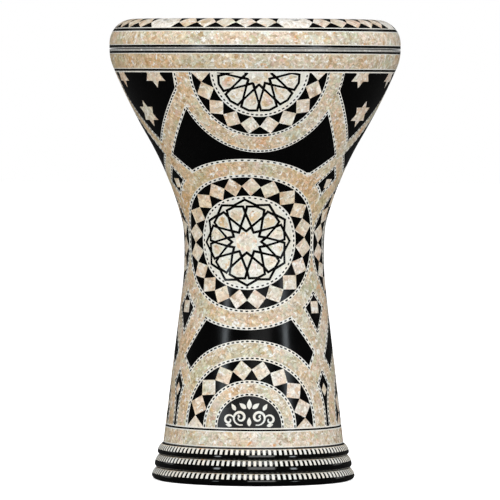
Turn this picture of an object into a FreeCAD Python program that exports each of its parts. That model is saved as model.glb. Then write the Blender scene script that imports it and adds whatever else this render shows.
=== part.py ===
import FreeCAD, Part
import Sketcher
import math
import os
from FreeCAD import Vector, Matrix, Placement, Rotation

# ---------------------------------------------------------------------------
# Goblet drum (darbuka): cast aluminium goblet shell covered with a mosaic of
# mother-of-pearl and stringing set flush in black resin, a separate clamp
# ring that holds a plastic head, and six M6 socket screws that tune it.
# Millimetres, +Z up, origin on the axis at the foot's standing face.
# ---------------------------------------------------------------------------
doc = FreeCAD.newDocument("Darbuka")
dims = doc.addObject("Spreadsheet::Sheet", "Dims")
TABLE = [
    # outer profile of the goblet, from the rim down: tangent arcs and a skirt
    ("rim_radius", 139.15), ("ring_seat_z", 411.5), ("band_foot_z", 38.0),
    ("shoulder_arc", 43.03), ("shoulder_slope", 22.992),
    ("bowl_arc", 597.52), ("bowl_slope", 30.194),
    ("flare_arc", 321.67), ("flare_slope", 15.073),
    ("throat_arc", 63.205), ("throat_slope", 4.072),
    ("waist_arc", 298.72), ("skirt_slope", -6.835),
    ("skin", 1.0), ("glue", 0.1), ("wall", 4.5),
    # bands on the rim and foot
    ("rim_band_top", 406.7), ("rim_band_low", 392.9), ("zone_top", 389.7),
    ("zone_low", 53.7), ("foot_band_top", 51.2), ("foot_band_low", 36.9),
    # foot beads: crests and the notches between them
    ("bead_one_z", 27.3), ("bead_one_radius", 91.7), ("notch_one_z", 24.4),
    ("notch_one_radius", 89.4), ("bead_two_z", 16.6), ("bead_two_radius", 94.25),
    ("notch_two_z", 12.0), ("notch_two_radius", 92.2), ("bead_base_z", 4.4),
    ("bead_base_radius", 97.25), ("foot_inner_radius", 81.5),
    # mouth of the shell: flange, bearing wall, screw bosses
    ("mouth_radius", 103.3), ("bearing_outer", 107.3), ("bearing_top_z", 437.8),
    ("channel_outer", 115.6), ("channel_floor_z", 407.0), ("flange_under_z", 398.5),
    ("boss_radius", 8.0), ("boss_under_z", 384.0), ("screw_circle", 120.5),
    ("screw_angle", 17.5), ("tapped_radius", 3.05),
    # heights where the casting's rings butt
    ("split_foot", 150.0), ("split_waist", 262.0),
    # clamp ring
    ("ring_top_z", 440.0), ("ring_shoulder_arc", 22.95), ("ring_centre_z", 417.05),
    ("ring_gap", 0.5), ("lip_radius", 109.4), ("lip_low_radius", 112.2),
    ("lip_low_z", 421.3), ("ring_pocket", 115.7),
    ("counterbore_radius", 5.4), ("counterbore_z", 429.4), ("screw_clearance", 3.3),
    ("ring_band_top", 427.3), ("ring_band_low", 415.6), ("ring_cap_z", 431.2),
    ("diamond_side_radius", 128.9),
    # plastic head
    ("film", 0.4), ("film_gap", 0.25), ("hoop_inner", 108.4), ("hoop_outer", 115.0),
    ("hoop_low_z", 414.0), ("hoop_top_z", 421.0), ("hoop_wall", 1.0),
    ("film_foot_radius", 111.0), ("film_foot_z", 415.6),
    # M6 socket screws with washers
    ("screw_radius", 3.0), ("head_radius", 5.0), ("head_height", 6.0),
    ("screw_length", 40.0), ("washer_radius", 5.3), ("washer_thick", 1.4),
    ("socket_width", 5.0), ("socket_depth", 3.2),
    # mosaic
    ("stringing", 2.9), ("tile_gap", 0.12), ("columns", 3),
    ("patch_half", 7.85),
]
VAL = {}
for row, (alias, value) in enumerate(TABLE, start=1):
    dims.set("A%d" % row, alias)
    dims.set("B%d" % row, str(value))
    dims.setAlias("B%d" % row, alias)
    VAL[alias] = float(value)
doc.recompute()


class Q:
    """A length or angle that carries both its sheet expression and its value."""

    def __init__(self, text, value):
        self.text, self.value = text, value

    @staticmethod
    def of(other):
        return other if isinstance(other, Q) else Q(repr(float(other)), float(other))

    def __add__(self, other):
        o = Q.of(other)
        return Q("(%s + %s)" % (self.text, o.text), self.value + o.value)

    def __sub__(self, other):
        o = Q.of(other)
        return Q("(%s - %s)" % (self.text, o.text), self.value - o.value)

    def __mul__(self, other):
        o = Q.of(other)
        return Q("(%s * %s)" % (self.text, o.text), self.value * o.value)

    def __truediv__(self, other):
        o = Q.of(other)
        return Q("(%s / %s)" % (self.text, o.text), self.value / o.value)


def q(alias):
    return Q("Dims." + alias, VAL[alias])


def qcos(a):
    return Q("cos(%s * 1 deg)" % a.text, math.cos(math.radians(a.value)))


def qsin(a):
    return Q("sin(%s * 1 deg)" % a.text, math.sin(math.radians(a.value)))


# ---------------------------------------------------------------- profile ---
# The outer profile runs down from the rim.  slope is the angle between the
# profile and the axis; positive means the radius shrinks on the way down.
ARCS = [("shoulder_arc", "shoulder_slope", 1), ("bowl_arc", "bowl_slope", 1),
        ("flare_arc", "flare_slope", -1), ("throat_arc", "throat_slope", -1),
        ("waist_arc", "skirt_slope", -1)]


def profile_nodes():
    """Joints of the outer profile as (radius, z, slope) in sheet terms."""
    r, z, a = q("rim_radius"), q("ring_seat_z"), Q("0", 0.0)
    out = [(r, z, a)]
    for arc, slope, turn in ARCS:
        b, rad = q(slope), q(arc)
        if turn > 0:
            r = r - rad * (qcos(a) - qcos(b))
            z = z - rad * (qsin(b) - qsin(a))
        else:
            r = r - rad * (qcos(b) - qcos(a))
            z = z - rad * (qsin(a) - qsin(b))
        a = b
        out.append((r, z, a))
    return out


NODES = profile_nodes()


def offset_node(i, d):
    """Joint i of the profile moved d along the outward normal."""
    r, z, a = NODES[i]
    return r + qcos(a) * d, z - qsin(a) * d


def profile_table():
    """Numbers for the whole outer profile: radius and arc length against z."""
    pts = []
    n = [(r.value, z.value, a.value) for r, z, a in NODES]
    pts.append((n[0][0], n[0][1] + 8.0))
    for i, (arc, slope, turn) in enumerate(ARCS):
        r0, z0, a0 = n[i]
        a1, rad = n[i + 1][2], VAL[arc]
        for j in range(60):
            t = math.radians(a0 + (a1 - a0) * j / 60.0)
            s = math.radians(a0)
            pts.append((r0 - turn * rad * (math.cos(s) - math.cos(t)),
                        z0 - turn * rad * (math.sin(t) - math.sin(s))))
    r0, z0, a0 = n[-1]
    for j in range(0, 81):
        z = z0 + (20.0 - z0) * j / 80.0
        pts.append((r0 + (z0 - z) * math.tan(math.radians(-a0)), z))
    s, out = 0.0, []
    for k, (r, z) in enumerate(pts):
        if k:
            s -= math.hypot(r - pts[k - 1][0], z - pts[k - 1][1])
        out.append((z, r, s))
    out.reverse()
    return out


PROFILE = profile_table()


def lookup(x, col, key=0):
    lo, hi = 0, len(PROFILE) - 1
    if x <= PROFILE[0][key]:
        a, b = PROFILE[0], PROFILE[1]
    elif x >= PROFILE[-1][key]:
        a, b = PROFILE[-2], PROFILE[-1]
    else:
        while hi - lo > 1:
            mid = (lo + hi) // 2
            if PROFILE[mid][key] <= x:
                lo = mid
            else:
                hi = mid
        a, b = PROFILE[lo], PROFILE[hi]
    t = (x - a[key]) / (b[key] - a[key])
    return a[col] + (b[col] - a[col]) * t


def radius_at(z):
    return lookup(z, 1)


def arc_at(z):
    return lookup(z, 2)


def z_of_arc(s):
    return lookup(s, 0, 2)


# ----------------------------------------------------------- body helpers ---
PARTS = []


def plane_of(body, role):
    for f in body.Origin.OriginFeatures:
        if f.Role == role:
            return f
    raise RuntimeError(role)


def revolved(label, points, arcs=None, hidden=False):
    """A PartDesign body turned about the axis from a closed half-section.

    points: (r, z) pairs in sheet terms; arcs: {segment: (radius, turn)} where
    turn is +1 when the arc bulges to the left of the segment's direction."""
    arcs = arcs or {}
    body = doc.addObject("PartDesign::Body", label)
    sk = body.newObject("Sketcher::SketchObject", label + "_section")
    sk.AttachmentSupport = [(plane_of(body, "XZ_Plane"), "")]
    sk.MapMode = "FlatFace"
    n = len(points)
    xy = [(p[0].value, p[1].value) for p in points]
    for i in range(n):
        x0, y0 = xy[i]
        x1, y1 = xy[(i + 1) % n]
        if i in arcs:
            rad, turn = arcs[i]
            mx, my = (x0 + x1) / 2.0, (y0 + y1) / 2.0
            dx, dy = x1 - x0, y1 - y0
            half = math.hypot(dx, dy) / 2.0
            rise = math.sqrt(max(rad.value ** 2 - half ** 2, 0.0))
            nx, ny = -dy / (2 * half), dx / (2 * half)
            cx, cy = mx - turn * nx * rise, my - turn * ny * rise
            bulge = rad.value
            px, py = cx + turn * nx * bulge, cy + turn * ny * bulge
            a, b = Vector(x0, y0, 0), Vector(x1, y1, 0)
            if turn > 0:
                a, b = b, a
            sk.addGeometry(Part.Arc(a, Vector(px, py, 0), b), False)
        else:
            sk.addGeometry(Part.LineSegment(Vector(x0, y0, 0), Vector(x1, y1, 0)), False)

    def ends(i):
        """Index of the start and end point of segment i in sketch terms."""
        g = sk.Geometry[i]
        s = g.StartPoint
        return (1, 2) if math.hypot(s.x - xy[i][0], s.y - xy[i][1]) < 1e-6 else (2, 1)

    cons, bound = [], []
    for i in range(n):
        j = (i + 1) % n
        cons.append(Sketcher.Constraint("Coincident", i, ends(i)[1], j, ends(j)[0]))
    for i in range(n):
        p = ends(i)[0]
        rq, zq = points[i]
        bound.append((len(cons), rq.text))
        cons.append(Sketcher.Constraint("DistanceX", -1, 1, i, p, rq.value))
        if abs(zq.value) < 1e-9:
            cons.append(Sketcher.Constraint("PointOnObject", i, p, -1))
        else:
            bound.append((len(cons), zq.text))
            cons.append(Sketcher.Constraint("DistanceY", -1, 1, i, p, zq.value))
    for i, (rad, turn) in arcs.items():
        bound.append((len(cons), rad.text))
        cons.append(Sketcher.Constraint("Radius", i, rad.value))
    sk.addConstraint(cons)
    for c, text in bound:
        sk.setExpression("Constraints[%d]" % c, text)
    doc.recompute()
    rev = body.newObject("PartDesign::Revolution", label + "_turn")
    rev.Profile = sk
    rev.ReferenceAxis = (sk, ["V_Axis"])
    rev.Angle = 360
    body.Tip = rev
    doc.recompute()
    body.Label = label
    if not hidden:
        PARTS.append(body)
    return body


def made(label, shape):
    """A mosaic or cut piece whose solid is worked out with Part functions."""
    f = doc.addObject("Part::Feature", label)
    f.Shape = shape
    f.Placement = Placement()
    f.Label = label
    PARTS.append(f)
    return f


def solids(shape):
    s = [x for x in shape.Solids if x.Volume > 1.0]
    return Part.makeCompound(s) if len(s) != 1 else s[0]


# ------------------------------------------------------------ cast shell ----
def wall_section():
    s = q("skin")
    d_out = Q("0", 0.0) - s - q("glue")
    d_in = Q("0", 0.0) - s - q("wall")
    pts, arcs = [], {}

    def add(r, z, arc=None):
        pts.append((r, z))
        if arc is not None:
            arcs[len(pts) - 1] = arc

    zero = Q("0", 0.0)
    # outer side, going down
    for i, (arc, slope, turn) in enumerate(ARCS):
        r, z = offset_node(i, d_out)
        rad = q(arc) + d_out if turn > 0 else q(arc) - d_out
        add(r, z, (rad, 1 if turn > 0 else -1))
    r, z = offset_node(5, d_out)
    add(r, z)
    # foot: straight skirt down to the beads, then a flared foot
    t = Q("tan(-1 * Dims.skirt_slope * 1 deg)", math.tan(math.radians(-VAL["skirt_slope"])))
    zf = Q("34.5", 34.5)
    rb = r + (z - zf) * t
    add(rb, zf)
    add(q("notch_one_radius") - 3.2, q("notch_one_z"))
    add(q("notch_two_radius") - 3.4, q("notch_two_z"))
    add(q("bead_base_radius") - 4.2, q("bead_base_z"))
    add(q("bead_base_radius") - 4.6, zero)
    add(q("foot_inner_radius"), zero)
    add(q("foot_inner_radius") - 0.6, Q("6", 6.0))
    # inner side, going up
    r5, z5 = offset_node(5, d_in)
    zi = Q("40", 40.0)
    add(r5 + (z5 - zi) * t, zi)
    for i in range(5, 1, -1):
        r, z = offset_node(i, d_in)
        arc, slope, turn = ARCS[i - 1]
        rad = q(arc) + d_in if turn > 0 else q(arc) - d_in
        add(r, z, (rad, -1 if turn > 0 else 1))
    r, z = offset_node(1, d_in)
    add(r, z)
    # flange, bearing wall with a round crown, hoop channel
    add(r + 0.6, q("flange_under_z"))
    add(q("mouth_radius"), q("flange_under_z"))
    crown = (q("bearing_outer") - q("mouth_radius")) / 2.0
    add(q("mouth_radius"), q("bearing_top_z") - crown, (crown * 1.03, 1))
    add(q("bearing_outer"), q("bearing_top_z") - crown)
    add(q("bearing_outer"), q("channel_floor_z"))
    add(q("channel_outer"), q("channel_floor_z"))
    add(q("channel_outer"), q("ring_seat_z"))
    return pts, arcs


pts, arcs = wall_section()
casting = revolved("casting_turned", pts, arcs, hidden=True)

# screw bosses under the flange, tapped M6 through flange and boss
boss = doc.addObject("Part::Cylinder", "boss")
boss.setExpression("Radius", "Dims.boss_radius")
boss.setExpression("Height", "Dims.flange_under_z - Dims.boss_under_z + 1")
tap = doc.addObject("Part::Cylinder", "tapped_hole")
tap.setExpression("Radius", "Dims.tapped_radius")
tap.setExpression("Height", "Dims.ring_seat_z - Dims.boss_under_z + 10")
doc.recompute()


def screw_places():
    out = []
    for i in range(6):
        a = math.radians(VAL["screw_angle"] + 60.0 * i)
        out.append((VAL["screw_circle"] * math.sin(a), -VAL["screw_circle"] * math.cos(a), math.degrees(a)))
    return out


inside = Part.makeCone(radius_at(380.0) - 4.0, VAL["rim_radius"] - 3.0, 32.0,
                       Vector(0, 0, 380.0))
shell_shape = casting.Shape
for x, y, a in screw_places():
    b = boss.Shape.copy()
    b.translate(Vector(x, y, VAL["boss_under_z"]))
    shell_shape = shell_shape.fuse(b.common(inside))
for x, y, a in screw_places():
    h = tap.Shape.copy()
    h.translate(Vector(x, y, VAL["boss_under_z"] - 5.0))
    shell_shape = shell_shape.cut(h)

# ------------------------------------------------- coats laid on the shell --
# One turned coat of the skin's thickness covers the bowl; it is parted at the
# band edges, and the mosaic between the bands is cut from the middle part.
def coat():
    pts, arcs = [], {}
    t = Q("tan(-1 * Dims.skirt_slope * 1 deg)", math.tan(math.radians(-VAL["skirt_slope"])))
    d1 = Q("0", 0.0) - q("skin")
    for i, (arc, slope, turn) in enumerate(ARCS):
        pts.append(offset_node(i, Q("0", 0.0)))
        arcs[len(pts) - 1] = (q(arc), 1 if turn > 0 else -1)
    r, z = offset_node(5, Q("0", 0.0))
    pts.append((r, z))
    zl = Q("35.2", 35.2)
    pts.append((r + (z - zl) * t, zl))
    r, z = offset_node(5, d1)
    pts.append((r + (z - zl) * t, zl))
    for i in range(5, 0, -1):
        r, z = offset_node(i, d1)
        pts.append((r, z))
        arc, slope, turn = ARCS[i - 1]
        rad = q(arc) + d1 if turn > 0 else q(arc) - d1
        arcs[len(pts) - 1] = (rad, -1 if turn > 0 else 1)
    pts.append(offset_node(0, d1))
    return revolved("coat_turned", pts, arcs, hidden=True)


coat_body = coat()
coat_shape = coat_body.Shape


def slab(shape, low, top):
    """The part of a turned shape between two heights."""
    tube = Part.makeCylinder(200.0, top - low, Vector(0, 0, low))
    return solids(shape.common(tube))


# The casting is one piece; it is given as four rings that butt on flat faces.
for name, low, top in (("cast_foot", -1.0, VAL["split_foot"]), ("cast_waist", VAL["split_foot"], VAL["split_waist"]),
                       ("cast_bowl", VAL["split_waist"], VAL["flange_under_z"]),
                       ("cast_collar", VAL["flange_under_z"], 450.0)):
    made(name, slab(shell_shape, low, top))

G = VAL["tile_gap"]
made("rim_stringing", slab(coat_shape, VAL["rim_band_top"] + G, VAL["ring_seat_z"]))
made("rim_pearl_band", slab(coat_shape, VAL["rim_band_low"] + G, VAL["rim_band_top"]))
made("rim_lower_stringing", slab(coat_shape, VAL["zone_top"] + G, VAL["rim_band_low"]))
zone = slab(coat_shape, VAL["zone_low"] + G, VAL["zone_top"])
made("foot_stringing", solids(Part.makeCompound([
    slab(coat_shape, VAL["foot_band_top"] + G, VAL["zone_low"]),
    slab(coat_shape, 35.3, VAL["foot_band_low"])])))
made("foot_pearl_band", slab(coat_shape, VAL["foot_band_low"] + G, VAL["foot_band_top"]))

# ----------------------------------------------------------- mosaic field ---
# Heights of the pattern's rows, and how far each row has crept round from the
# front (degrees): the mosaic was laid by hand, row by row.
CREEP = [(480, 2.6), (390.5, 2.0), (350.7, -0.25), (310.5, -0.75), (284.7, -2.4),
         (228.2, -5.5), (163.2, -5.2), (127, -4.0), (88.5, -3.5), (54.5, -2.8), (0, -1.6)]


def creep(z):
    for (z1, a1), (z0, a0) in zip(CREEP, CREEP[1:]):
        if z >= z0:
            return a0 + (a1 - a0) * (z - z0) / (z1 - z0)
    return CREEP[-1][1]


class Field:
    """A flat drawing plane tangent to one column of the mosaic.  Outlines are
    given as (turn from the column in degrees, z) and are cut out radially."""

    def __init__(self, turn):
        self.turn = turn

    def flat(self, pts):
        out = []
        for a, z in pts:
            r = radius_at(z)
            out.append((r * math.radians(a), arc_at(z)))
        return out

    def back(self, pts):
        out = []
        for x, s in pts:
            z = z_of_arc(s)
            out.append((math.degrees(x / radius_at(z)), z))
        return out

    def wire(self, pts, local):
        """pts relative to the plane's own turn."""
        v = []
        for a, z in pts:
            r = radius_at(z)
            v.append(Vector(r * math.sin(math.radians(a)), -20.0, z))
        v.append(v[0])
        return Part.makePolygon(v)

    def prism(self, face):
        p = face.extrude(Vector(0, -140.0, 0))
        p.rotate(Vector(0, 0, 0), Vector(0, 0, 1), self.turn)
        return p


def grow(pts, d):
    """Offset a closed outline by d with mitred corners (flat coordinates)."""
    area = sum(p[0] * q2[1] - q2[0] * p[1] for p, q2 in zip(pts, pts[1:] + pts[:1]))
    sgn = 1.0 if area > 0 else -1.0
    out, n = [], len(pts)
    for i in range(n):
        x0, y0 = pts[i - 1]
        x1, y1 = pts[i]
        x2, y2 = pts[(i + 1) % n]
        ax, ay = x1 - x0, y1 - y0
        bx, by = x2 - x1, y2 - y1
        la, lb = math.hypot(ax, ay), math.hypot(bx, by)
        nax, nay = sgn * ay / la, -sgn * ax / la
        nbx, nby = sgn * by / lb, -sgn * bx / lb
        mx, my = nax + nbx, nay + nby
        k = max((mx * mx + my * my) / 2.0, 0.28)
        out.append((x1 + d * mx / k, y1 + d * my / k))
    return out


def turning_radius(cz, z, hold):
    """Radius that turns a sideways distance into degrees: the local one, or
    partly the one at the centre where a drawing was wrapped round whole."""
    return hold * radius_at(cz) + (1.0 - hold) * radius_at(z)


def ring_pts(cz, r, n=40, stretch=1.0, hold=0.0):
    """A circle of radius r on the surface about height cz, as (turn, z)."""
    s0 = arc_at(cz)
    out = []
    for i in range(n):
        a = 2 * math.pi * i / n
        x, s = r * stretch * math.sin(a), s0 + r * math.cos(a)
        z = z_of_arc(s)
        out.append((math.degrees(x / turning_radius(cz, z, hold)), z))
    return out


def regular(cz, cx, pts, hold=0.0):
    """Flat points about a centre (turn cx degrees, height cz)."""
    s0 = arc_at(cz)
    x0 = radius_at(cz) * math.radians(cx)
    out = []
    for x, y in pts:
        z = z_of_arc(s0 + y)
        out.append((math.degrees((x0 + x) / turning_radius(cz, z, hold)), z))
    return out


def face_of(field, pts):
    return Part.Face(field.wire(pts, True))


def between(field, outer, inner):
    f = face_of(field, outer)
    return f.cut(face_of(field, inner))


def hexagram(r, wide=1.0):
    out = []
    for i in range(12):
        a = math.radians(30.0 * i)
        rr = r if i % 2 == 0 else r / math.sqrt(3.0)
        out.append((rr * math.sin(a) * wide, rr * math.cos(a)))
    return out


W = VAL["stringing"]
MEDALLIONS = {
    # height of centre, radii of the rings outwards, diamonds round the circle,
    # turn of the first diamond from straight up, sideways stretch, share of
    # the centre's radius in the wrapping
    "upper": (390.4, (40.9, 43.1, 47.2, 66.0, 69.0, 82.8, 85.6), 18, 9.0, 1.01, 0.45),
    "waist": (229.3, (40.6, 41.3, 45.2, 64.0, 67.0, 80.4, 83.3), 20, 6.0, 1.065, 0.8),
    "foot": (54.5, (30.2, 32.8, 42.0, 45.1, 64.2, 67.4, 80.3, 83.2), 18, 10.0, 1.03, 0.0),
}
# The foot's diamonds were set by eye: their turns, which are not evenly spaced.
DIAMOND_TURNS = {
    "foot": [11.0, 29.6, 50.5, 71.0, 90.5, 110.0, 130.0, 150.0, 170.0, 190.0, 210.0, 230.0, 250.0, 270.5, 291.5,
             313.5, 334.0, 353.0],
}
KITES = [
    # outline corners as (turn from the seam between columns, z)
    ("star_panels", [(-23.6, 392.0), (-23.2, 374.8), (0.0, 325.7), (23.2, 374.8), (23.6, 392.0)]),
    ("upper_kite_panels", [(0.0, 298.8), (-10.9, 284.0), (0.0, 271.1), (10.9, 284.0)]),
    ("lower_kite_panels", [(0.0, 182.3), (-11.8, 168.4), (0.0, 144.8), (11.8, 168.4)]),
    ("spear_panels", [(0.0, 104.7), (-6.6, 91.2), (-3.0, 52.5), (3.0, 52.5), (6.6, 91.2)]),
]
CROSSINGS = [
    ("upper_crossing_panels", [(-32.6, 355.5), (34.2, 355.5), (53.6, 311.9), (38.3, 295.2),
                               (-38.3, 295.2), (-53.4, 311.9)]),
    ("lower_crossing_panels", [(-33.4, 155.4), (34.6, 155.6), (52.0, 124.6), (45.0, 109.3),
                               (-45.9, 108.6), (-53.6, 120.0)]),
]



def third(turn):
    a = math.radians(60.0)
    e = VAL["tile_gap"] / 2.0
    v = [Vector(0, -e / math.sin(a), 150), Vector(-400 * math.sin(a), -400 * math.cos(a) - e, 150),
         Vector(-200, -400, 150), Vector(200, -400, 150),
         Vector(400 * math.sin(a), -400 * math.cos(a) - e, 150)]
    v.append(v[0])
    p = Part.Face(Part.makePolygon(v)).extrude(Vector(0, 0, 180))
    p.rotate(Vector(0, 0, 0), Vector(0, 0, 1), turn)
    return p


holes = []          # everything the pearl strapwork is cut away for
discs = []          # whole medallions
collect = {}


def keep(name, shape):
    collect.setdefault(name, []).extend([s for s in shape.Solids if s.Volume > 0.5])


for col in range(3):
    for name, (cz, rad, count, first, wide, hold) in MEDALLIONS.items():
        field = Field(120.0 * col + creep(cz))
        # neighbouring waist medallions meet: each keeps to its own third
        base = zone.common(third(field.turn)) if name == "waist" else zone

        def ring_between(a, b):
            return field.prism(between(field, ring_pts(cz, rad[b] - G, 48, wide, hold),
                                       ring_pts(cz, rad[a], 48, wide, hold)))
        disc = field.prism(face_of(field, ring_pts(cz, rad[-1] + G, 48, wide, hold)))
        discs.append(disc)
        if name == "foot":
            keep("lunette_panels", zone.common(field.prism(face_of(field, ring_pts(cz, rad[0] - G, 48, wide, hold)))))
            order = [("medallion_stringing", 0, 1), ("medallion_pearl_bands", 1, 2),
                     ("medallion_stringing", 2, 3), ("ground", 3, 4), ("medallion_stringing", 4, 5),
                     ("medallion_pearl_bands", 5, 6), ("medallion_stringing", 6, 7)]
            inner_r, outer_r = rad[3], rad[4]
        else:
            keep("upper_rosettes" if name == "upper" else "waist_rosettes",
                 base.common(field.prism(face_of(field, ring_pts(cz, rad[1] - G, 48, wide, hold)))))
            order = [("medallion_stringing", 1, 2), ("ground", 2, 3), ("medallion_stringing", 3, 4),
                     ("medallion_pearl_bands", 4, 5), ("medallion_stringing", 5, 6)]
            inner_r, outer_r = rad[2], rad[3]
        mid = (inner_r + outer_r) / 2.0
        tiles, pockets = [], []
        turns = DIAMOND_TURNS.get(name, [first + 360.0 * k / count for k in range(count)])
        for k in range(count):
            a = math.radians(turns[k])
            after = math.radians((turns[(k + 1) % count] - turns[k]) % 360.0) / 2.0
            before = math.radians((turns[k] - turns[k - 1]) % 360.0) / 2.0
            c, s = math.cos(a), math.sin(a)
            # set on their corners: the points come close to the rings and each other
            hv = (outer_r - inner_r) / 2.0 - 0.30
            right, left = mid * after - 0.15, mid * before - 0.15
            if cz + (mid + 0.6 * hv) * c > VAL["zone_top"] or cz + (mid - 0.6 * hv) * c < VAL["zone_low"]:
                continue
            for target, g in ((tiles, 0.0), (pockets, 1.41 * G)):
                sq = []
                for u, v in ((0, -hv - g), (right + g, 0), (0, hv + g), (-left - g, 0)):
                    x = (mid + v) * s + u * c
                    y = (mid + v) * c - u * s
                    sq.append((x * wide, y))
                target.append(field.prism(face_of(field, regular(cz, 0.0, sq, hold))))
        keep("checker_squares", base.common(Part.makeCompound(tiles)))
        for target, a, b in order:
            solid = base.common(ring_between(a, b))
            if target == "ground":
                solid = solid.cut(Part.makeCompound(pockets))
                target = name + "_checker_grounds"
            keep(target, solid)

disc_all = Part.makeCompound(discs)
for col in range(3):
    for name, outline in CROSSINGS:
        cz = sum(p[1] for p in outline) / len(outline)
        turn = 120.0 * col + creep(cz)
        field = Field(turn)
        flat = field.flat([(a * 1.0, z) for a, z in outline])
        flat = grow(flat, 0.0)
        inner = field.back(flat)
        mid = field.back(grow(flat, G))
        outer = field.back(grow(flat, W))
        past = field.back(grow(flat, W + G))
        keep(name, zone.common(field.prism(face_of(field, inner))).cut(disc_all))
        keep("panel_stringing", zone.common(field.prism(between(field, outer, mid))).cut(disc_all))
        holes.append(field.prism(face_of(field, past)))
    for name, outline in KITES:
        cz = sum(p[1] for p in outline) / len(outline)
        field = Field(60.0 + 120.0 * col + creep(cz))
        flat = field.flat(outline)
        inner, mid = field.back(flat), field.back(grow(flat, G))
        outer, past = field.back(grow(flat, W)), field.back(grow(flat, W + G))
        solid = zone.common(field.prism(face_of(field, inner))).cut(disc_all)
        tiles, pockets = [], []
        if name == "star_panels":
            spots = [(0.0, 350.4, 14.0, "star_inlays"), (-12.6, 388.0, 14.0, "star_inlays"),
                     (12.6, 388.0, 14.0, "star_inlays")]
            for cx, z, r, node in spots:
                tiles.append((node, field.prism(face_of(field, regular(z, cx, hexagram(r, 1.06))))))
                pockets.append(field.prism(face_of(field, regular(z, cx, hexagram(r + G * 1.8, 1.06)))))
        elif name in ("upper_kite_panels", "lower_kite_panels"):
            z = 284.4 if name.startswith("upper") else 166.9
            h = 4.6 if name.startswith("upper") else 5.6
            for g, target in ((0.0, tiles), (G, pockets)):
                e = h + g
                p = field.prism(face_of(field, regular(z, 0.0, [(-e, -e), (e, -e), (e, e), (-e, e)])))
                target.append(("kite_inlays", p) if g == 0.0 else p)
        else:
            for g, target in ((0.0, tiles), (G * 1.6, pockets)):
                e, f = 4.3 + g, 6.1 + g * 1.4
                p = field.prism(face_of(field, regular(88.8, 0.0, [(-e, 0), (0, -f), (e, 0), (0, f)])))
                target.append(("spear_inlays", p) if g == 0.0 else p)
        for node, p in tiles:
            tile = zone.common(p).common(field.prism(face_of(field, field.back(grow(flat, -1.2)))))
            keep(node, tile.cut(disc_all))
        keep(name, solid.cut(Part.makeCompound(pockets)))
        keep("panel_stringing", zone.common(field.prism(between(field, outer, mid))).cut(disc_all))
        holes.append(field.prism(face_of(field, past)))

straps = zone.cut(disc_all)
for hcut in holes:
    straps = straps.cut(hcut)
keep("pearl_straps", straps)
for name in ("pearl_straps", "medallion_pearl_bands", "medallion_stringing", "panel_stringing",
             "upper_rosettes", "waist_rosettes", "lunette_panels", "upper_checker_grounds",
             "waist_checker_grounds", "foot_checker_grounds", "checker_squares",
             "star_panels", "upper_crossing_panels", "upper_kite_panels", "lower_kite_panels",
             "lower_crossing_panels", "spear_panels", "star_inlays", "kite_inlays", "spear_inlays"):
    made(name, Part.makeCompound(collect[name]))

# ------------------------------------------------------------- foot beads ---
zero = Q("0", 0.0)


def bead(label, rows, arcs):
    return revolved(label, rows, arcs)


bead("foot_bead_upper", [
    (q("bead_one_radius") - 5.3, q("band_foot_z") - 3.0),
    (q("bead_one_radius"), q("bead_one_z")),
    (q("notch_one_radius"), q("notch_one_z") + 0.1),
    (q("notch_one_radius") - 3.0, q("notch_one_z") + 0.1),
    (q("bead_one_radius") - 6.0, q("band_foot_z") - 3.3)],
    {0: (Q("11", 11.0), 1), 1: (Q("2.6", 2.6), 1)})
bead("foot_bead_middle", [
    (q("notch_one_radius"), q("notch_one_z") - 0.1),
    (q("bead_two_radius"), q("bead_two_z")),
    (q("notch_two_radius"), q("notch_two_z") + 0.1),
    (q("notch_two_radius") - 3.2, q("notch_two_z") + 0.1),
    (q("notch_one_radius") - 3.0, q("notch_one_z") - 0.1)],
    {0: (Q("12", 12.0), 1), 1: (Q("3.6", 3.6), 1)})
bead("foot_bead_base", [
    (q("notch_two_radius"), q("notch_two_z") - 0.1),
    (q("bead_base_radius"), q("bead_base_z")),
    (q("bead_base_radius") - 3.9, Q("0.4", 0.4)),
    (q("bead_base_radius") - 4.4, Q("0.4", 0.4)),
    (q("bead_base_radius") - 4.0, q("bead_base_z")),
    (q("notch_two_radius") - 3.2, q("notch_two_z") - 0.1)],
    {0: (Q("12", 12.0), 1), 1: (Q("4.4", 4.4), 1)})

# ------------------------------------------------------------- clamp ring ---
def ring_section(cover):
    """Half-section of the ring; cover is how far inside the finished face."""
    d = Q("0", 0.0) - cover
    arc = q("ring_shoulder_arc") + d
    cx = q("rim_radius") - q("ring_shoulder_arc")
    cz = q("ring_centre_z")
    seat = q("ring_seat_z") + q("ring_gap")
    return [
        (q("rim_radius") + d, seat),
        (q("rim_radius") + d, cz),
        (cx, cz + arc),
        (q("lip_radius") + 1.5, cz + arc),
        (q("lip_radius"), cz + arc - 1.5),
        (q("lip_low_radius"), q("lip_low_z")),
        (q("ring_pocket"), q("lip_low_z")),
        (q("ring_pocket"), seat),
    ], {1: (arc, -1), 3: (Q("1.5", 1.5), -1)}


pts, arcs = ring_section(q("skin") + q("glue"))
ring_turned = revolved("ring_turned", pts, arcs, hidden=True)
bore = doc.addObject("Part::Cylinder", "counterbore")
bore.setExpression("Radius", "Dims.counterbore_radius")
bore.Height = 20
clear = doc.addObject("Part::Cylinder", "clearance_hole")
clear.setExpression("Radius", "Dims.screw_clearance")
clear.Height = 60
doc.recompute()
cuts = []
for x, y, a in screw_places():
    b = bore.Shape.copy()
    b.translate(Vector(x, y, VAL["counterbore_z"]))
    c = clear.Shape.copy()
    c.translate(Vector(x, y, 400.0))
    cuts += [b, c]
ring_cuts = Part.makeCompound(cuts)
made("clamp_ring", solids(ring_turned.Shape.cut(ring_cuts)))

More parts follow.
